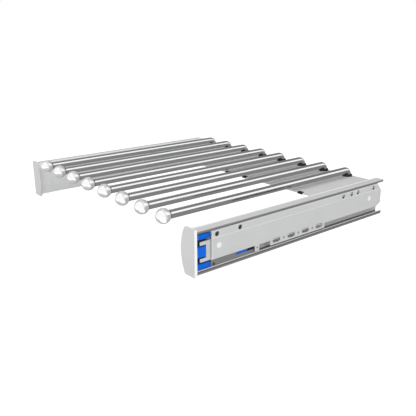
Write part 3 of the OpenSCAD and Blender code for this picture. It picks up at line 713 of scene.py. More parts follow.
class Workpiece:
    """A mesh on the bench, shaped with Blender's modelling operators."""

    def __init__(self, thing: bpy.types.Object) -> None:
        """Takes up an object."""
        self.thing = thing

    # Stock

    @classmethod
    def ring(cls, radius: float, centre: Vector, axis: Axis, sides: int,
             fill: str = "NOTHING") -> "Workpiece":
        """Stock for a turned piece.

        Args:
            radius: Radius of the ring, in millimetres.
            centre: Centre of the ring, in metres.
            axis: Axis of the ring.
            sides: How many edges the ring has.
            fill: Blender's fill type.

        Returns:
            The ring.
        """
        set_down()
        turn = Axis.Z.vector.rotation_difference(axis.vector).to_euler()
        bpy.ops.mesh.primitive_circle_add(vertices=sides, radius=radius * MM,
                                          location=centre, rotation=turn, fill_type=fill)
        return cls(bpy.context.object).settle()

    @classmethod
    def block(cls, low: Vector, high: Vector) -> "Workpiece":
        """Block between two corners of the frame.

        Args:
            low: Its lower corner, in metres.
            high: Its upper corner.

        Returns:
            The block.
        """
        set_down()
        bpy.ops.mesh.primitive_cube_add(size=1.0, location=(low + high) / 2,
                                        scale=[abs(c) for c in high - low])
        return cls(bpy.context.object).settle()

    @classmethod
    def drum(cls, radius: float, length: float, centre: Vector, sides: int) -> "Workpiece":
        """Solid round along Y, from its radius and length in millimetres.

        Args:
            radius: Its radius.
            length: Its length along Y.
            centre: Its middle, in metres.
            sides: How many faces go round.

        Returns:
            The drum.
        """
        set_down()
        bpy.ops.mesh.primitive_cylinder_add(
            vertices=sides, radius=radius * MM, depth=length * MM, location=centre,
            rotation=(math.pi / 2, 0, 0), end_fill_type="NGON")
        return cls(bpy.context.object).settle()

    @classmethod
    def copy_of(cls, node: str) -> "Workpiece":
        """Merged copy of a CAD node's mesh, with flat areas joined to single faces.

        Args:
            node: Name of the node.

        Returns:
            The copy.
        """
        set_down()
        thing = bpy.data.objects.new(node + "_copy", frame["nodes"][node].data.copy())
        bpy.context.scene.collection.objects.link(thing)
        thing.data.materials.clear()
        piece = cls(thing)
        piece.edit(Part.FACES)
        bpy.ops.mesh.remove_doubles(threshold=SEAM)
        bpy.ops.mesh.dissolve_limited(angle_limit=math.radians(FLAT_DEGREES))
        leave_edit()
        return piece

    def twin(self) -> "Workpiece":
        """A second piece with its own mesh.

        Returns:
            The second piece.
        """
        set_down()
        thing = bpy.data.objects.new(self.thing.name + "_twin", self.thing.data.copy())
        bpy.context.scene.collection.objects.link(thing)
        return Workpiece(thing)

    # Handling

    def take(self) -> None:
        """Makes this the one selected and active object."""
        set_down()
        self.thing.select_set(True)
        bpy.context.view_layer.objects.active = self.thing

    def settle(self) -> "Workpiece":
        """Moves place, turn and scale into the mesh.

        Returns:
            This piece.
        """
        self.take()
        bpy.ops.object.transform_apply(location=True, rotation=True, scale=True)
        return self

    def shift(self, step: Vector) -> "Workpiece":
        """Moves the whole piece."""
        self.thing.location = step
        return self.settle()

    def mirrored(self) -> "Workpiece":
        """The other hand of this piece.

        Returns:
            The other piece.
        """
        other = self.twin()
        other.thing.scale = (-1.0, 1.0, 1.0)
        return other.settle().close()

    def hands(self) -> tuple[tuple[Side, "Workpiece"], ...]:
        """This right hand piece and its left hand twin, each with its side."""
        return (Side.RIGHT, self), (Side.LEFT, self.mirrored())

    # Edits

    def edit(self, part: Part) -> None:
        """Opens the mesh with all of it selected.

        Args:
            part: Whether faces or edges are selected.
        """
        self.take()
        bpy.context.tool_settings.mesh_select_mode = part.value
        bpy.ops.object.mode_set(mode="EDIT")
        bpy.ops.mesh.select_all(action="SELECT")

    def pick(self, part: Part, test: Test) -> int:
        """Opens the mesh with the faces or edges selected that pass a test.

        Args:
            part: Whether faces or edges are picked.
            test: Takes the middle in millimetres and the normal, or the direction of an
                edge, and says whether it is picked.

        Returns:
            How many were picked.
        """
        self.take()
        mesh = self.thing.data
        for flags in (mesh.vertices, mesh.edges, mesh.polygons):
            flags.foreach_set("select", [False] * len(flags))
        if part is Part.FACES:
            for face in mesh.polygons:
                face.select = test(face.center / MM, face.normal)
        else:
            for edge in mesh.edges:
                a, b = (mesh.vertices[i].co for i in edge.vertices)
                edge.select = test((a + b) / 2 / MM, (b - a).normalized())
        picked = sum(item.select for item in (*mesh.edges, *mesh.polygons))
        bpy.context.tool_settings.mesh_select_mode = part.value
        bpy.ops.object.mode_set(mode="EDIT")
        return picked

    def extrude(self, step: Vector) -> None:
        """Extrudes what is picked, by a step in millimetres."""
        bpy.ops.mesh.extrude_region_move(
            TRANSFORM_OT_translate={"value": step * MM, "orient_type": "GLOBAL"})

    def push(self, step: Vector, test: Test) -> None:
        """Extrudes the faces that pass a test, by a step in millimetres.

        Args:
            step: The step.
            test: Test of a face, as in pick.
        """
        self.pick(Part.FACES, test)
        self.extrude(step)
        leave_edit()

    def resize(self, factors: Sequence[float], pivot: Vector) -> None:
        """Scales what is picked about a point."""
        bpy.ops.transform.resize(value=factors, center_override=pivot)

    def cut(self, point: Vector, normal: Vector, clear: bool = True) -> "Workpiece":
        """Cuts the whole mesh along a plane.

        Args:
            point: A point of the plane, in metres.
            normal: Its normal, which points at what is cleared away.
            clear: Whether that side is cleared and the cut closed.

        Returns:
            This piece.
        """
        self.edit(Part.FACES)
        bpy.ops.mesh.bisect(plane_co=point, plane_no=normal, use_fill=clear,
                            clear_outer=clear, threshold=SEAM)
        leave_edit()
        return self

    def bevel(self, width: float, segments: int, test: Test) -> "Workpiece":
        """Rounds the edges that pass a test.

        Args:
            width: Width of the bevel, in millimetres.
            segments: How many faces it has.
            test: Test of an edge, as in pick.

        Returns:
            This piece.
        """
        if self.pick(Part.EDGES, test):
            bpy.ops.mesh.bevel(offset=width * MM, segments=segments, affect="EDGES",
                               clamp_overlap=True)
        leave_edit()
        return self

    @classmethod
    def disc(cls, axis: Axis, centre: Vector, station: Station, sides: int) -> "Workpiece":
        """Disc at a station of an axis, open for editing with its rim picked.

        Args:
            axis: Axis of the disc.
            centre: Point on the axis, in metres.
            station: Distance along the axis from there, and radius.
            sides: How many edges its rim has.

        Returns:
            The disc.
        """
        middle = centre + axis.vector * station[0] * MM
        piece = cls.ring(station[1], middle, axis, sides, "TRIFAN")
        piece.pick(Part.EDGES, lambda m, way: (
            (m - middle / MM).length > station[1] * RIM_SHARE))
        return piece

    def run(self, axis: Axis, centre: Vector, stations: Sequence[Station]) -> None:
        """Runs the picked ring on along a turned profile.

        Args:
            axis: Axis of the piece.
            centre: Point on the axis from which stations are measured, in metres.
            stations: Distance along and radius, from where the ring stands to its end.
        """
        for last, station in zip(stations, stations[1:]):
            self.extrude(axis.vector * (station[0] - last[0]))
            self.resize((station[1] / last[1],) * 3, centre + axis.vector * station[0] * MM)

    @classmethod
    def turned(cls, axis: Axis, centre: Vector, stations: Sequence[Station], sides: int,
               solid: bool = True) -> "Workpiece":
        """A piece turned from a ring.

        Args:
            axis: Axis of the piece.
            centre: Point on the axis from which stations are measured, in metres.
            stations: Distance along the axis and radius of each ring, in millimetres.
            sides: How many faces go round.
            solid: Whether both ends close on the axis, or the last ring meets the first.

        Returns:
            The closed piece.
        """
        first = stations[0]
        if solid:
            piece = cls.disc(axis, centre, first, sides)
            piece.run(axis, centre, stations)
            bpy.ops.mesh.merge(type="CENTER")
        else:
            piece = cls.ring(first[1], centre + axis.vector * first[0] * MM, axis, sides)
            piece.edit(Part.EDGES)
            piece.run(axis, centre, [*stations, first])
        leave_edit()
        return piece.close()

    def close(self) -> "Workpiece":
        """Merges doubles and turns all faces outwards.

        Returns:
            This piece.
        """
        self.edit(Part.FACES)
        bpy.ops.mesh.remove_doubles(threshold=SEAM)
        bpy.ops.mesh.normals_make_consistent(inside=False)
        leave_edit()
        return self

    def modify(self, kind: str, **settings: object) -> "Workpiece":
        """Adds a modifier with its settings and applies it.

        Args:
            kind: Blender's type of the modifier.
            settings: Its properties.

        Returns:
            This piece.
        """
        self.take()
        modifier = self.thing.modifiers.new(kind.lower(), kind)
        for key, setting in settings.items():
            setattr(modifier, key, setting)
        bpy.ops.object.modifier_apply(modifier=modifier.name)
        return self

    def soften(self, width: float, segments: int = 2) -> "Workpiece":
        """Rounds every sharp edge by a width in millimetres, in so many faces."""
        return self.modify("BEVEL", width=width * MM, segments=segments,
                           limit_method="ANGLE", angle_limit=math.radians(SHARP_DEGREES),
                           use_clamp_overlap=True)

    def finish(self, name: str, body: str, finish: Finish, *nodes: str,
               smooth: float = 40.0) -> "Workpiece":
        """Hands the piece over to the frame.

        Args:
            name: Name of the piece.
            body: CAD body that it rides on.
            finish: What it is made of.
            nodes: CAD nodes that it stands for.
            smooth: Largest angle between faces that shade as one, in degrees.

        Returns:
            This piece.
        """
        self.take()
        bpy.ops.object.shade_smooth_by_angle(angle=math.radians(smooth))
        self.modify("WEIGHTED_NORMAL", keep_sharp=True)
        self.thing.name = self.thing.data.name = name
        self.thing.data.materials.clear()
        self.thing.data.materials.append(finish.material())
        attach(self.thing, body)
        if nodes:
            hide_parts(*nodes)
        log.info("%s: %d faces on %s", name, len(self.thing.data.polygons), body)
        return self


# Sub-assemblies


@dataclass
class Rods:
    """Eight bent rods with their balls, foot bushes, washers and nuts.

    Pairs of lengths are steps of a turned profile: the first along the axis from the
    piece's top, foot or rear, and the second across from its rim or its bore.
    """

    count: int = 8
    first_in: float = 75.9
    radius: float = 7.0
    height: float = 75.5
    front: float = -1.8
    front_rim: float = 0.4
    bore: float = 5.8
    bore_deep: float = 10.0
    bore_rim: float = 0.3
    bend: float = 9.5
    bend_steps: int = 14
    leg_depth: float = 438.8
    shoulder: float = 0.5
    plate_top: float = 64.2
    plate_low: float = 62.2
    stud: float = 3.0
    stud_low: float = 53.8
    stud_tip: float = 0.5
    thread_root: float = 2.62
    thread_pitch: float = 1.0
    thread_start: float = 0.4
    thread_end: float = 0.6
    pole: float = 0.2
    ball: float = 12.2
    ball_arc: tuple[float, float] = (1.5, 134.0)
    ball_steps: int = 30
    ball_groove: tuple[tuple[float, float], ...] = ((0.1, 0.3), (-0.2, 0.7))
    neck: float = 7.9
    neck_end: float = 10.2
    neck_rim: float = 0.3
    fit: float = 0.05
    fit_rim: float = 0.2
    bush: float = 9.7
    bush_t: float = 4.4
    bush_fit: float = 0.1
    bush_foot: tuple[float, float] = (0.2, 0.15)
    bush_dome: tuple[tuple[float, float], ...] = (
        (2.6, 0.0), (1.6, 0.25), (0.8, 0.7), (0.3, 1.2), (0.06, 1.6), (0.0, 1.9))
    bush_mouth: tuple[tuple[float, float], ...] = ((0.1, 0.2), (0.4, 0.0))
    washer: float = 6.25
    washer_t: float = 1.4
    washer_rim: float = 0.2
    washer_fit: float = 0.25
    washer_mouth: float = 0.15
    nut_flat: float = 5.0
    nut_t: float = 5.0
    nut_flats: int = 6
    nut_rim: tuple[float, float] = (0.45, 0.15)
    nut_fit: float = 0.05
    nut_mouth: float = 0.4
    nut_edge: float = 0.12
    sides: int = 48
    washer_sides: int = 40

    def pitch(self) -> Vector:
        """Step from one rod to the next, to the right, in metres."""
        return Vector((2 * (HALF_W - self.first_in) / (self.count - 1) * MM, 0, 0))

    def at(self, depth: float, height: float) -> Vector:
        """Point on the first rod's plane, in metres of the frame."""
        return place(2 * HALF_W - self.first_in, depth, height)

    def repeat(self, first: Workpiece, name: str, finish: Finish, nodes: Sequence[str],
               smooth: float = 40.0) -> None:
        """Copies a piece of the first rod to all eight and hands them over.

        Args:
            first: Piece of the first rod.
            name: Name that the number is added to.
            finish: What the pieces are made of.
            nodes: CAD node of each piece, or one node for all.
            smooth: Smoothing angle in degrees.
        """
        copies = [first] + [first.twin().shift(self.pitch() * i) for i in range(1, self.count)]
        for i, copy in enumerate(copies):
            node = nodes[i] if len(nodes) > 1 else nodes[0]
            copy.finish(f"{name}_{i + 1}", "rack", finish, node, smooth=smooth)

    def build_rod(self) -> Workpiece:
        """Tube with a blind front bore, the rear bend, a shoulder and a thread.

        Returns:
            The first rod.
        """
        bend_depth = self.leg_depth - self.bend
        bend_low = self.height - self.bend
        centre = self.at(0.0, self.height)
        floor = (self.front + self.bore_deep, self.bore)
        rod = Workpiece.disc(Axis.Y, centre, floor, self.sides)
        rod.run(Axis.Y, centre, [
            floor, (self.front + self.bore_rim, self.bore),
            (self.front, self.bore + self.bore_rim), (self.front, self.radius - self.front_rim),
            (self.front + self.front_rim, self.radius), (bend_depth, self.radius)])
        bpy.ops.mesh.spin(steps=self.bend_steps, angle=math.pi / 2,
                          center=self.at(bend_depth, bend_low), axis=Axis.X.value)
        crest = self.plate_low - self.thread_start
        turns = int((crest - self.stud_low - self.thread_end) / self.thread_pitch)
        thread = []
        for top in (crest - i * self.thread_pitch for i in range(turns)):
            thread += [(top, self.thread_root), (top - self.thread_pitch / 2, self.stud)]
        rod.run(Axis.Z, self.at(self.leg_depth, 0.0), [
            (bend_low, self.radius), (self.plate_top + self.shoulder, self.radius),
            (self.plate_top, self.radius - self.shoulder), (self.plate_top, self.stud), *thread,
            (self.stud_low + self.stud_tip, self.thread_root),
            (self.stud_low, self.thread_root - self.stud_tip), (self.stud_low, self.pole)])
        bpy.ops.mesh.merge(type="CENTER")
        leave_edit()
        return rod.close()

    def build_ball(self) -> Workpiece:
        """Ball with a groove and a short neck round the rod.

        Returns:
            The first rod's ball.
        """
        start, end = self.ball_arc
        arc = []
        for i in range(self.ball_steps + 1):
            a = math.radians(start + (end - start) * i / self.ball_steps)
            arc.append((-self.ball * math.cos(a), self.ball * math.sin(a)))
        rear, wide = arc[-1]
        fit = self.radius + self.fit
        return Workpiece.turned(Axis.Y, self.at(0.0, self.height), [
            *arc, *((rear + back, wide - deep) for back, deep in self.ball_groove),
            (rear, self.neck), (self.neck_end - self.neck_rim, self.neck),
            (self.neck_end, self.neck - self.neck_rim), (self.neck_end, fit + self.fit_rim),
            (self.neck_end - self.fit_rim, fit), (self.front, fit), (self.front, self.pole)],
            self.sides)

    def build_ring(self, base: float, stations: Sequence[Station], sides: int) -> Workpiece:
        """Turned ring round the first rod's leg, with stations from its base up."""
        return Workpiece.turned(Axis.Z, self.at(self.leg_depth, base), stations, sides,
                                solid=False)

    def build_tube(self, base: float, thick: float, outer: float, rim: tuple[float, float],
                   inner: float, mouth: float, sides: int) -> Workpiece:
        """Flat ring round the first rod's leg with all four edges chamfered.

        Args:
            base: Height of its underside.
            thick: How thick it is.
            outer: Its outer radius.
            rim: How far the outer chamfers reach down and in.
            inner: Its inner radius.
            mouth: How far the inner chamfers reach.
            sides: How many faces go round.

        Returns:
            The closed ring.
        """
        down, back = rim
        return self.build_ring(base, [
            (down, outer), (thick - down, outer), (thick, outer - back), (thick, inner + mouth),
            (thick - mouth, inner), (mouth, inner), (0, inner + mouth), (0, outer - back)], sides)

    def build_bush(self) -> Workpiece:
        """Domed trim ring at the foot of a rod.

        Returns:
            The first rod's bush.
        """
        foot_up, foot_back = self.bush_foot
        fit = self.radius + self.bush_fit
        return self.build_ring(self.plate_top, [
            (0, self.bush - foot_back), (foot_up, self.bush),
            *((self.bush_t - down, self.bush - back) for down, back in self.bush_dome),
            *((self.bush_t - down, fit + out) for down, out in self.bush_mouth), (0, fit)],
            self.sides)

    def build_washer(self) -> Workpiece:
        """Washer with a softened rim."""
        return self.build_tube(
            self.plate_low - self.washer_t, self.washer_t, self.washer, (self.washer_rim,) * 2,
            self.stud + self.washer_fit, self.washer_mouth, self.washer_sides)

    def build_nut(self) -> Workpiece:
        """Nut turned with chamfers, then milled to six flats.

        Returns:
            The first rod's nut.
        """
        corner = self.nut_flat / math.cos(math.pi / self.nut_flats)
        low = self.plate_low - self.washer_t - self.nut_t
        down, back = self.nut_rim
        nut = self.build_tube(low, self.nut_t, corner, (down, corner - self.nut_flat + back),
                              self.stud + self.nut_fit, self.nut_mouth, self.sides)
        for i in range(self.nut_flats):
            turn = 2 * math.pi * (i + 0.5) / self.nut_flats
            way = Matrix.Rotation(turn, 3, "Z") @ Axis.X.vector
            nut.cut(self.at(self.leg_depth, low) + way * self.nut_flat * MM, way)
        return nut.soften(self.nut_edge, segments=1)

    def dress(self) -> None:
        """Builds all rods with their fittings."""
        self.repeat(self.build_rod(), "rod_tube", PALETTE.chrome,
                    [f"rod_{i + 1}" for i in range(self.count)], smooth=50.0)
        self.repeat(self.build_ball(), "rod_ball", PALETTE.ball, ["rod_end_balls"], smooth=35.0)
        self.repeat(self.build_bush(), "rod_bush", PALETTE.black, ["rod_bushes"])
        self.repeat(self.build_washer(), "rod_washer", PALETTE.fastener, ["rod_washers"])
        self.repeat(self.build_nut(), "rod_nut", PALETTE.fastener, ["rod_nuts"], smooth=25.0)


@dataclass
class EndCaps:
    """The two D shaped end caps, each with a collar over the profile's skin."""

    height: float = 73.1
    thick: float = 4.6
    outer_in: float = 0.6
    corner_in: float = 24.4
    arc: float = 78.717
    arc_in: float = -45.317
    corner: float = 2.4
    outer_corner: float = 1.5
    rim: float = 0.9
    rear_rim: float = 0.35
    reach: float = 0.3
    skin: float = 67.606
    skin_in: float = -40.106
    skin_edge: float = 18.5
    low: float = 2.85
    collar: float = 20.0
    collar_t: float = 1.2
    collar_fit: float = 0.1
    collar_sunk: float = 0.2
    collar_rim: float = 0.3
    sides: int = 240

    def trim(self, piece: Workpiece, inward: float, low: float) -> None:
        """Cuts a piece at its outer side, below and above.

        Args:
            piece: The piece.
            inward: Where it ends, in from the rack's outer face.
            low: How far from the underside, and from the top, it ends.
        """
        piece.cut(place(inward, 0, 0), Axis.X.vector)
        piece.cut(place(0, 0, low), -Axis.Z.vector)
        piece.cut(place(0, 0, self.height - low), Axis.Z.vector)

    def build_plate(self) -> Workpiece:
        """The D shaped plate with its rounded rim.

        Returns:
            The right hand plate.
        """
        cap = Workpiece.drum(self.arc, self.thick,
                             place(self.arc_in, self.thick / 2, self.height / 2), self.sides)
        self.trim(cap, self.outer_in, 0.0)
        for inward, radius, segments in ((self.corner_in, self.corner, 8),
                                         (self.outer_in, self.outer_corner, 6)):
            cap.bevel(radius, segments, lambda m, way: (
                abs(way.y) > FACING and near(m.x, HALF_W - inward, self.reach)
                and min(m.z, self.height - m.z) < self.reach))
        for depth, radius, segments in ((0.0, self.rim, 5), (self.thick, self.rear_rim, 2)):
            cap.bevel(radius, segments, lambda m, way: (
                near(m.y, depth - ORIGIN_DEPTH) and near(way.y, 0.0)))
        return cap

    def build_collar(self) -> Workpiece:
        """Sheet behind the plate that wraps the profile's curved skin.

        Returns:
            The right hand collar.
        """
        inner = self.skin + self.collar_fit
        outer = inner + self.collar_t
        collar = Workpiece.turned(
            Axis.Y, place(self.skin_in, self.thick, self.height / 2),
            [(-self.collar_sunk, outer), (self.collar, outer), (self.collar, inner),
             (-self.collar_sunk, inner)], self.sides, solid=False)
        self.trim(collar, self.skin_edge, self.low)
        return collar.soften(self.collar_rim)

    def dress(self) -> None:
        """Builds both caps with their collars."""
        for piece, name, finish in ((self.build_plate(), "end_cap", PALETTE.cap),
                                    (self.build_collar(), "cap_collar", PALETTE.collar)):
            for side, hand in piece.hands():
                hand.finish(f"{name}_{side.value}", "rack", finish, f"front_cap_{side.value}")


@dataclass
class FrontBlocks:
    """Blue blocks behind the caps: a back plate, two arms and a barbed tongue."""

    outer_in: float = 2.9
    plate_in: float = 7.0
    inner_in: float = 12.5
    front: float = 4.6
    back: float = 8.6
    low: float = 6.05
    high: float = 67.05
    arms: tuple[tuple[float, float], ...] = ((10.2, 17.9), (56.1, 63.8))
    arm_end: float = 30.6
    arm_round: float = 1.6
    tongue: tuple[float, float] = (28.9, 44.2)
    tongue_end: float = 22.0
    barb_front: float = 19.4
    barb_in: float = 10.4
    barb: float = 1.3
    pocket_rim: float = 1.3
    pocket_deep: float = 0.9
    edge: float = 0.3

    def build(self) -> Workpiece:
        """One block of the right hand side.

        Returns:
            The block.
        """
        block = Workpiece.block(place(self.inner_in, self.front, self.low),
                                place(self.plate_in, self.back, self.high))
        for height in (*self.arms[0], *self.tongue, *self.arms[1]):
            block.cut(place(0, 0, height), Axis.Z.vector, clear=False)
        block.push(Axis.X.vector * (self.plate_in - self.outer_in), lambda m, n: (
            n.x > FACING and any(low < m.z < high for low, high in (*self.arms, self.tongue))))
        for bars, end in ((self.arms, self.arm_end), ((self.tongue,), self.tongue_end)):
            block.push(Axis.Y.vector * (end - self.back), lambda m, n: (
                n.y > FACING and near(m.y, self.back - ORIGIN_DEPTH)
                and any(low < m.z < high for low, high in bars)))
        block.bevel(self.arm_round, 3, lambda m, way: (
            abs(way.x) > FACING and near(m.y, self.arm_end - ORIGIN_DEPTH)))
        block.cut(place(0, self.barb_front, 0), Axis.Y.vector, clear=False)
        block.cut(place(self.barb_in, 0, 0), Axis.X.vector, clear=False)
        for height, up in zip(self.tongue, (-1, 1)):
            block.push(Axis.Z.vector * up * self.barb, lambda m, n: (
                n.z * up > FACING and near(m.z, height) and m.x > HALF_W - self.barb_in
                and m.y > self.barb_front - ORIGIN_DEPTH))
        # Shallow pockets in the outward faces of the arms
        for low, high in self.arms:
            block.pick(Part.FACES, lambda m, n: (
                n.x > FACING and low < m.z < high and m.y > self.back - ORIGIN_DEPTH))
            bpy.ops.mesh.inset(thickness=self.pocket_rim * MM)
            block.extrude(-Axis.X.vector * self.pocket_deep)
            leave_edit()
        return block.close().soften(self.edge)

    def dress(self) -> None:
        """Builds both blocks."""
        for side, hand in self.build().hands():
            hand.finish(f"front_block_{side.value}_moulded", "rack", PALETTE.blue,
                        f"front_block_{side.value}")


@dataclass
class PlateClips:
    """Three rubber clips over the plate's front edge."""

    middles: tuple[float, ...] = (30.743, 80.729, 225.9)
    wide: float = 10.7
    front: float = 278.7
    web: float = 1.0
    reach: float = 5.0
    low: float = 61.2
    high: float = 65.2
    leg: float = 1.0
    edge: float = 0.42

    def build(self, middle: float) -> Workpiece:
        """One clip about a place to the right of the rack's middle.

        Args:
            middle: The place.

        Returns:
            The clip.
        """
        inward, legs = HALF_W - middle, (self.low + self.leg, self.high - self.leg)
        clip = Workpiece.block(
            place(inward + self.wide / 2, self.front, self.low),
            place(inward - self.wide / 2, self.front + self.web, self.high))
        for height in legs:
            clip.cut(place(0, 0, height), Axis.Z.vector, clear=False)
        clip.push(Axis.Y.vector * self.reach, lambda m, n: (
            n.y > FACING and not legs[0] < m.z < legs[1]))
        return clip.close().soften(self.edge, segments=3)

    def dress(self) -> None:
        """Builds the clips."""
        for i, middle in enumerate(self.middles):
            self.build(middle).finish(f"edge_clip_{i + 1}", "rack", PALETTE.rubber,
                                      "plate_edge_pads")


@dataclass
class Rivets:
    """Dished rivets of the cabinet members.

    The crown has shares of the height with radii, and the flange's rims have steps in
    along the axis and across from the rim.
    """

    depths: tuple[float, ...] = (44.9, 407.8)
    height: float = 40.9
    proud: float = 0.3
    dish: float = 0.35
    dish_half: float = 3.0
    dish_steps: int = 7
    dish_start_share: float = 0.08
    crown: tuple[tuple[float, float], ...] = ((1.0, 3.4), (0.8, 4.0), (0.35, 4.35))
    head: float = 4.5
    sunk: float = 0.02
    stem: float = 3.45
    stem_top: float = 0.1
    sheet: float = 1.1
    flange: float = 4.5
    flange_rims: tuple[tuple[float, float], ...] = ((0.0, 0.2), (0.3, 0.0), (0.5, 0.3))
    pole: float = 0.3
    sides: int = 40

    def build(self, depth: float) -> Workpiece:
        """One rivet of the right hand side.

        Args:
            depth: Where it sits, back from the cap faces.

        Returns:
            The rivet.
        """
        arc = []
        for i in range(self.dish_steps + 1):
            share = (i + self.dish_start_share) / self.dish_steps
            arc.append((self.proud - self.dish * (1 - share * share),
                        self.dish_half * min(share, 1.0)))
        return Workpiece.turned(Axis.X, place(0, depth, self.height), [
            *arc, *((self.proud * share, radius) for share, radius in self.crown),
            (-self.sunk, self.head), (-self.stem_top, self.stem), (-self.sheet, self.stem),
            *((-self.sheet - down, self.flange - back) for down, back in self.flange_rims),
            (-self.sheet - self.flange_rims[-1][0], self.pole)], self.sides)

    def dress(self) -> None:
        """Builds two rivets a side."""
        node = "cabinet_member_rivets"
        for i, depth in enumerate(self.depths):
            for side, hand in self.build(depth).hands():
                hand.finish(f"rail_rivet_{side.value}_{i + 1}", BODY_OF[node], PALETTE.rivet,
                            node, smooth=50.0)


@dataclass(frozen=True)
class SoftCopy:
    """A solid whose shape is right: its node, finish, edge radius and bevel segments."""

    node: str
    finish: Finish
    radius: float
    segments: int = 2


@dataclass
class SoftenedSolids:
    """Copies of solids whose shape is right, with the edges rounded as made."""

    paired: tuple[SoftCopy, ...] = (
        SoftCopy("side_profile", PALETTE.profile, 0.3),
        SoftCopy("cabinet_member", PALETTE.slide, 0.16),
        SoftCopy("intermediate_member", PALETTE.race, 0.12, segments=1),
        SoftCopy("drawer_member", PALETTE.drawer, 0.14),
        SoftCopy("damper_housing", PALETTE.damper, 0.3),
        SoftCopy("damper_catch", PALETTE.blue, 0.3),
        SoftCopy("catch_hook", PALETTE.black, 0.3),
        SoftCopy("release_lever", PALETTE.black, 0.25))
    single: tuple[SoftCopy, ...] = (
        SoftCopy("rear_plate", PALETTE.plate, 0.35),
        SoftCopy("plate_screws", PALETTE.fastener, 0.12, segments=1),
        SoftCopy("drawer_member_screws", PALETTE.fastener, 0.12, segments=1),
        SoftCopy("damper_screws", PALETTE.dark_screw, 0.1, segments=1))
    tab_rear: float = 30.2
    tab_stretch: float = 3.4
    tab_reach: float = 0.1

    def soften(self, soft: SoftCopy, node: str) -> None:
        """Makes the copy of one node and lets it stand for the node.

        Args:
            soft: What the copy is made like.
            node: Name of the node.
        """
        copy = Workpiece.copy_of(node)
        if soft.node == "drawer_member":
            # The tab is drawn longer, so that no gap shows between it and the rail
            copy.pick(Part.FACES, lambda m, n: (
                n.y > FACING and near(m.y, self.tab_rear - ORIGIN_DEPTH, self.tab_reach)))
            bpy.ops.transform.translate(value=Axis.Y.vector * self.tab_stretch * MM)
            leave_edit()
        copy.soften(soft.radius, soft.segments)
        copy.finish(f"{node}_soft_edged", BODY_OF[node], soft.finish, node, smooth=35.0)
        # The chrome reflects only the studio, as in the photograph
        copy.thing.visible_glossy = False

    def dress(self) -> None:
        """Makes every copy."""
        for soft in self.paired:
            for side in Side:
                self.soften(soft, f"{soft.node}_{side.value}")
        for soft in self.single:
            self.soften(soft, soft.node)


@dataclass
class NodeFinishes:
    """Finishes of the CAD nodes that stay in view."""

    def dress(self) -> None:
        """Gives every CAD node its slot's material: the first of the palette."""
        by_slot = {getattr(PALETTE, field.name).slot: getattr(PALETTE, field.name)
                   for field in reversed(fields(PALETTE))}
        for entry in frame["record"]["subparts"]:
            name, finish = entry["node"], by_slot[entry["material_slot"]]
            node = frame["nodes"][name]
            node.data.materials.clear()
            node.data.materials.append(finish.material())
            if not node.hide_render:
                log.info("%s: kept with %s", name, finish.name)


# Studio


@dataclass(frozen=True)
class Lamp:
    """A square area lamp: places in metres, its side, and its power in watts."""

    name: str
    where: Place
    target: Place
    size: float
    power: float

    def build(self) -> None:
        """Hangs the lamp, unseen by reflections."""
        data = bpy.data.lights.new(self.name, "AREA")
        data.size, data.energy = self.size, self.power
        lamp = bpy.data.objects.new(self.name, data)
        bpy.context.scene.collection.objects.link(lamp)
        lamp.location, lamp.visible_glossy = self.where, False
        way = Vector(self.target) - Vector(self.where)
        lamp.rotation_euler = way.to_track_quat("-Z", "Y").to_euler()


@dataclass(frozen=True)
class Card:
    """A grey card that only reflections see: places in metres, and its own roll in degrees."""

    name: str
    where: Place
    target: Place
    size: tuple[float, float]
    grey: float
    roll: float = 0.0

    def build(self) -> None:
        """Stands the card up as a plane that glows."""
        set_down()
        turn = (Vector(self.target) - Vector(self.where)).to_track_quat("Z", "Y")
        turn = (turn @ Quaternion(Axis.Z.value, math.radians(self.roll))).to_euler()
        bpy.ops.mesh.primitive_plane_add(size=1.0, location=self.where, rotation=turn)
        card = bpy.context.object
        card.name = self.name
        card.scale = (*self.size, 1.0)
        sheet = Sheet.material(self.name)
        glow = sheet.node("ShaderNodeEmission", values={
            "Color": (self.grey, self.grey, self.grey, 1.0), "Strength": 1.0})
        sheet.node("ShaderNodeOutputMaterial", values={"Surface": glow})
        card.data.materials.append(sheet.owner)
        card.visible_camera = card.visible_diffuse = card.visible_shadow = False
        card.visible_transmission = False


@dataclass(frozen=True)
class Wing:
    """Half of the plane behind the rack, for one side of the rods' highlight.

    Its edge runs out from behind the rods, at an angle in degrees over the right. The
    half above the edge has side 1, and the half below it has side -1.
    """

    name: str
    edge: float
    side: int
    grey: float
    root: Place = (0.12, 4.5, 0.07)
    reach: float = 14.0

    def build(self) -> None:
        """Works the card out and builds it."""
        out = math.radians(self.edge + 90.0 * self.side)
        where = Vector(self.root) + Vector((math.cos(out), 0, math.sin(out))) * self.reach / 2
        Card(self.name, tuple(where), tuple(where - Axis.Y.vector), (2 * self.reach, self.reach),
             self.grey, self.edge).build()


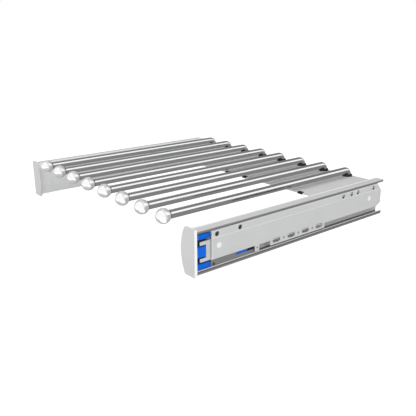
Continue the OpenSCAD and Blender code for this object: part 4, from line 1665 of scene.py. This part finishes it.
@dataclass
class Studio:
    """Camera, lamps, cards, floor and the white surround."""

    picture_px: int = 416
    focal_px: float = 554.585
    sensor: float = 36.0
    clip: tuple[float, float] = (0.01, 50.0)
    stand: Place = (0.8535, -0.66015, 0.3386)
    yaw: float = -0.887536
    pitch: float = 0.311063
    roll: float = -0.004003
    floor_drop: float = 0.16
    floor_size: float = 60.0
    floor_white: float = 0.72
    floor_rough: float = 0.9
    floor_glow: float = 0.5
    sky: float = 0.85
    fittings: tuple[Union[Lamp, Card, Wing], ...] = (
        Lamp("key_overhead", (-0.35, 0.15, 1.5), (0, 0, 0.05), size=0.9, power=2.6),
        Lamp("side_right", (1.6, -0.1, 0.75), (0.25, 0, 0.04), size=0.9, power=6.2),
        Lamp("front_fill", (0.1, -1.7, 0.7), (0, 0, 0.05), size=1.1, power=5.0),
        Lamp("rear_strip", (1.75, 1.85, 1.45), (0, 0, 0.07), size=1.0, power=3.5),
        Wing("flag_upper", edge=66.0, side=1, grey=0.19),
        Wing("flag_lower", edge=17.0, side=-1, grey=0.2),
        Card("flag_left", (-4.5, 1.0, 3.9), (0, 1.0, 3.9), size=(7.0, 8.0), grey=0.4),
        Card("flag_below", (1.0, 4.88, -0.15), (1.0, 4.88, 1.0), size=(14.0, 10.0), grey=0.22),
        Card("flag_front", (-0.655, -0.36, -0.15), (-0.655, -0.36, 1.0), size=(1.69, 0.48),
             grey=0.4),
        Card("strip_over", (0.2, -0.15, 2.6), (0.2, -0.15, 0.0), size=(5.6, 0.42), grey=0.03),
        Card("strip_right", (3.0, 0.1, 1.2), (0.0, 0.1, 1.2), size=(0.42, 2.8), grey=0.03))

    def camera(self) -> None:
        """The camera at the photograph's stand."""
        cp, sp = math.cos(self.pitch), math.sin(self.pitch)
        ahead = Vector((math.sin(self.yaw) * cp, math.cos(self.yaw) * cp, -sp))
        right = ahead.cross(Axis.Z.vector).normalized()
        up = right.cross(ahead)
        cr, sr = math.cos(self.roll), math.sin(self.roll)
        right, up = right * cr + up * sr, up * cr - right * sr
        data = bpy.data.cameras.new("studio_camera")
        data.sensor_width = self.sensor
        data.lens = self.focal_px * self.sensor / self.picture_px
        data.clip_start, data.clip_end = self.clip
        camera = bpy.data.objects.new("studio_camera", data)
        bpy.context.scene.collection.objects.link(camera)
        turn = Matrix((right, up, -ahead)).transposed().to_4x4()
        camera.matrix_world = Matrix.Translation(self.stand) @ turn
        bpy.context.scene.camera = camera

    def surround(self) -> None:
        """White for the camera and for reflections, softer as light."""
        bpy.context.scene.world = bpy.data.worlds.new("white_surround")
        sheet = Sheet(bpy.context.scene.world)
        back = sheet.node("ShaderNodeBackground", values={
            "Color": (1, 1, 1, 1),
            "Strength": sheet.seen_rays() * (1.0 - self.sky) + self.sky})
        sheet.node("ShaderNodeOutputWorld", values={"Surface": back})

    def floor(self) -> None:
        """Plain pale floor that keeps the rack's shadow."""
        set_down()
        bpy.ops.mesh.primitive_plane_add(size=self.floor_size,
                                         location=(0, 0, -self.floor_drop))
        floor = bpy.context.object
        floor.name = "studio_floor"
        sheet = Sheet.material("floor_white")
        floor.data.materials.append(sheet.surface(
            Base_Color=(*(self.floor_white,) * 3, 1.0), Roughness=self.floor_rough,
            Specular_IOR_Level=0.0, Emission_Color=(1, 1, 1, 1),
            Emission_Strength=sheet.seen_rays() * self.floor_glow))

    def dress(self) -> None:
        """Sets up the whole studio."""
        bpy.context.scene.view_settings.view_transform = "Standard"
        self.surround()
        self.floor()
        self.camera()
        for fitting in self.fittings:
            fitting.build()


def main() -> None:
    """Builds the rack's pieces in order, then the studio."""
    logging.basicConfig(level=logging.INFO, format="%(name)s: %(message)s")
    for assembly in (Rods(), EndCaps(), FrontBlocks(), PlateClips(), Rivets(),
                     SoftenedSolids(), NodeFinishes(), Studio()):
        assembly.dress()
        log.info("%s done", type(assembly).__name__)


if __name__ == "__main__":
    main()
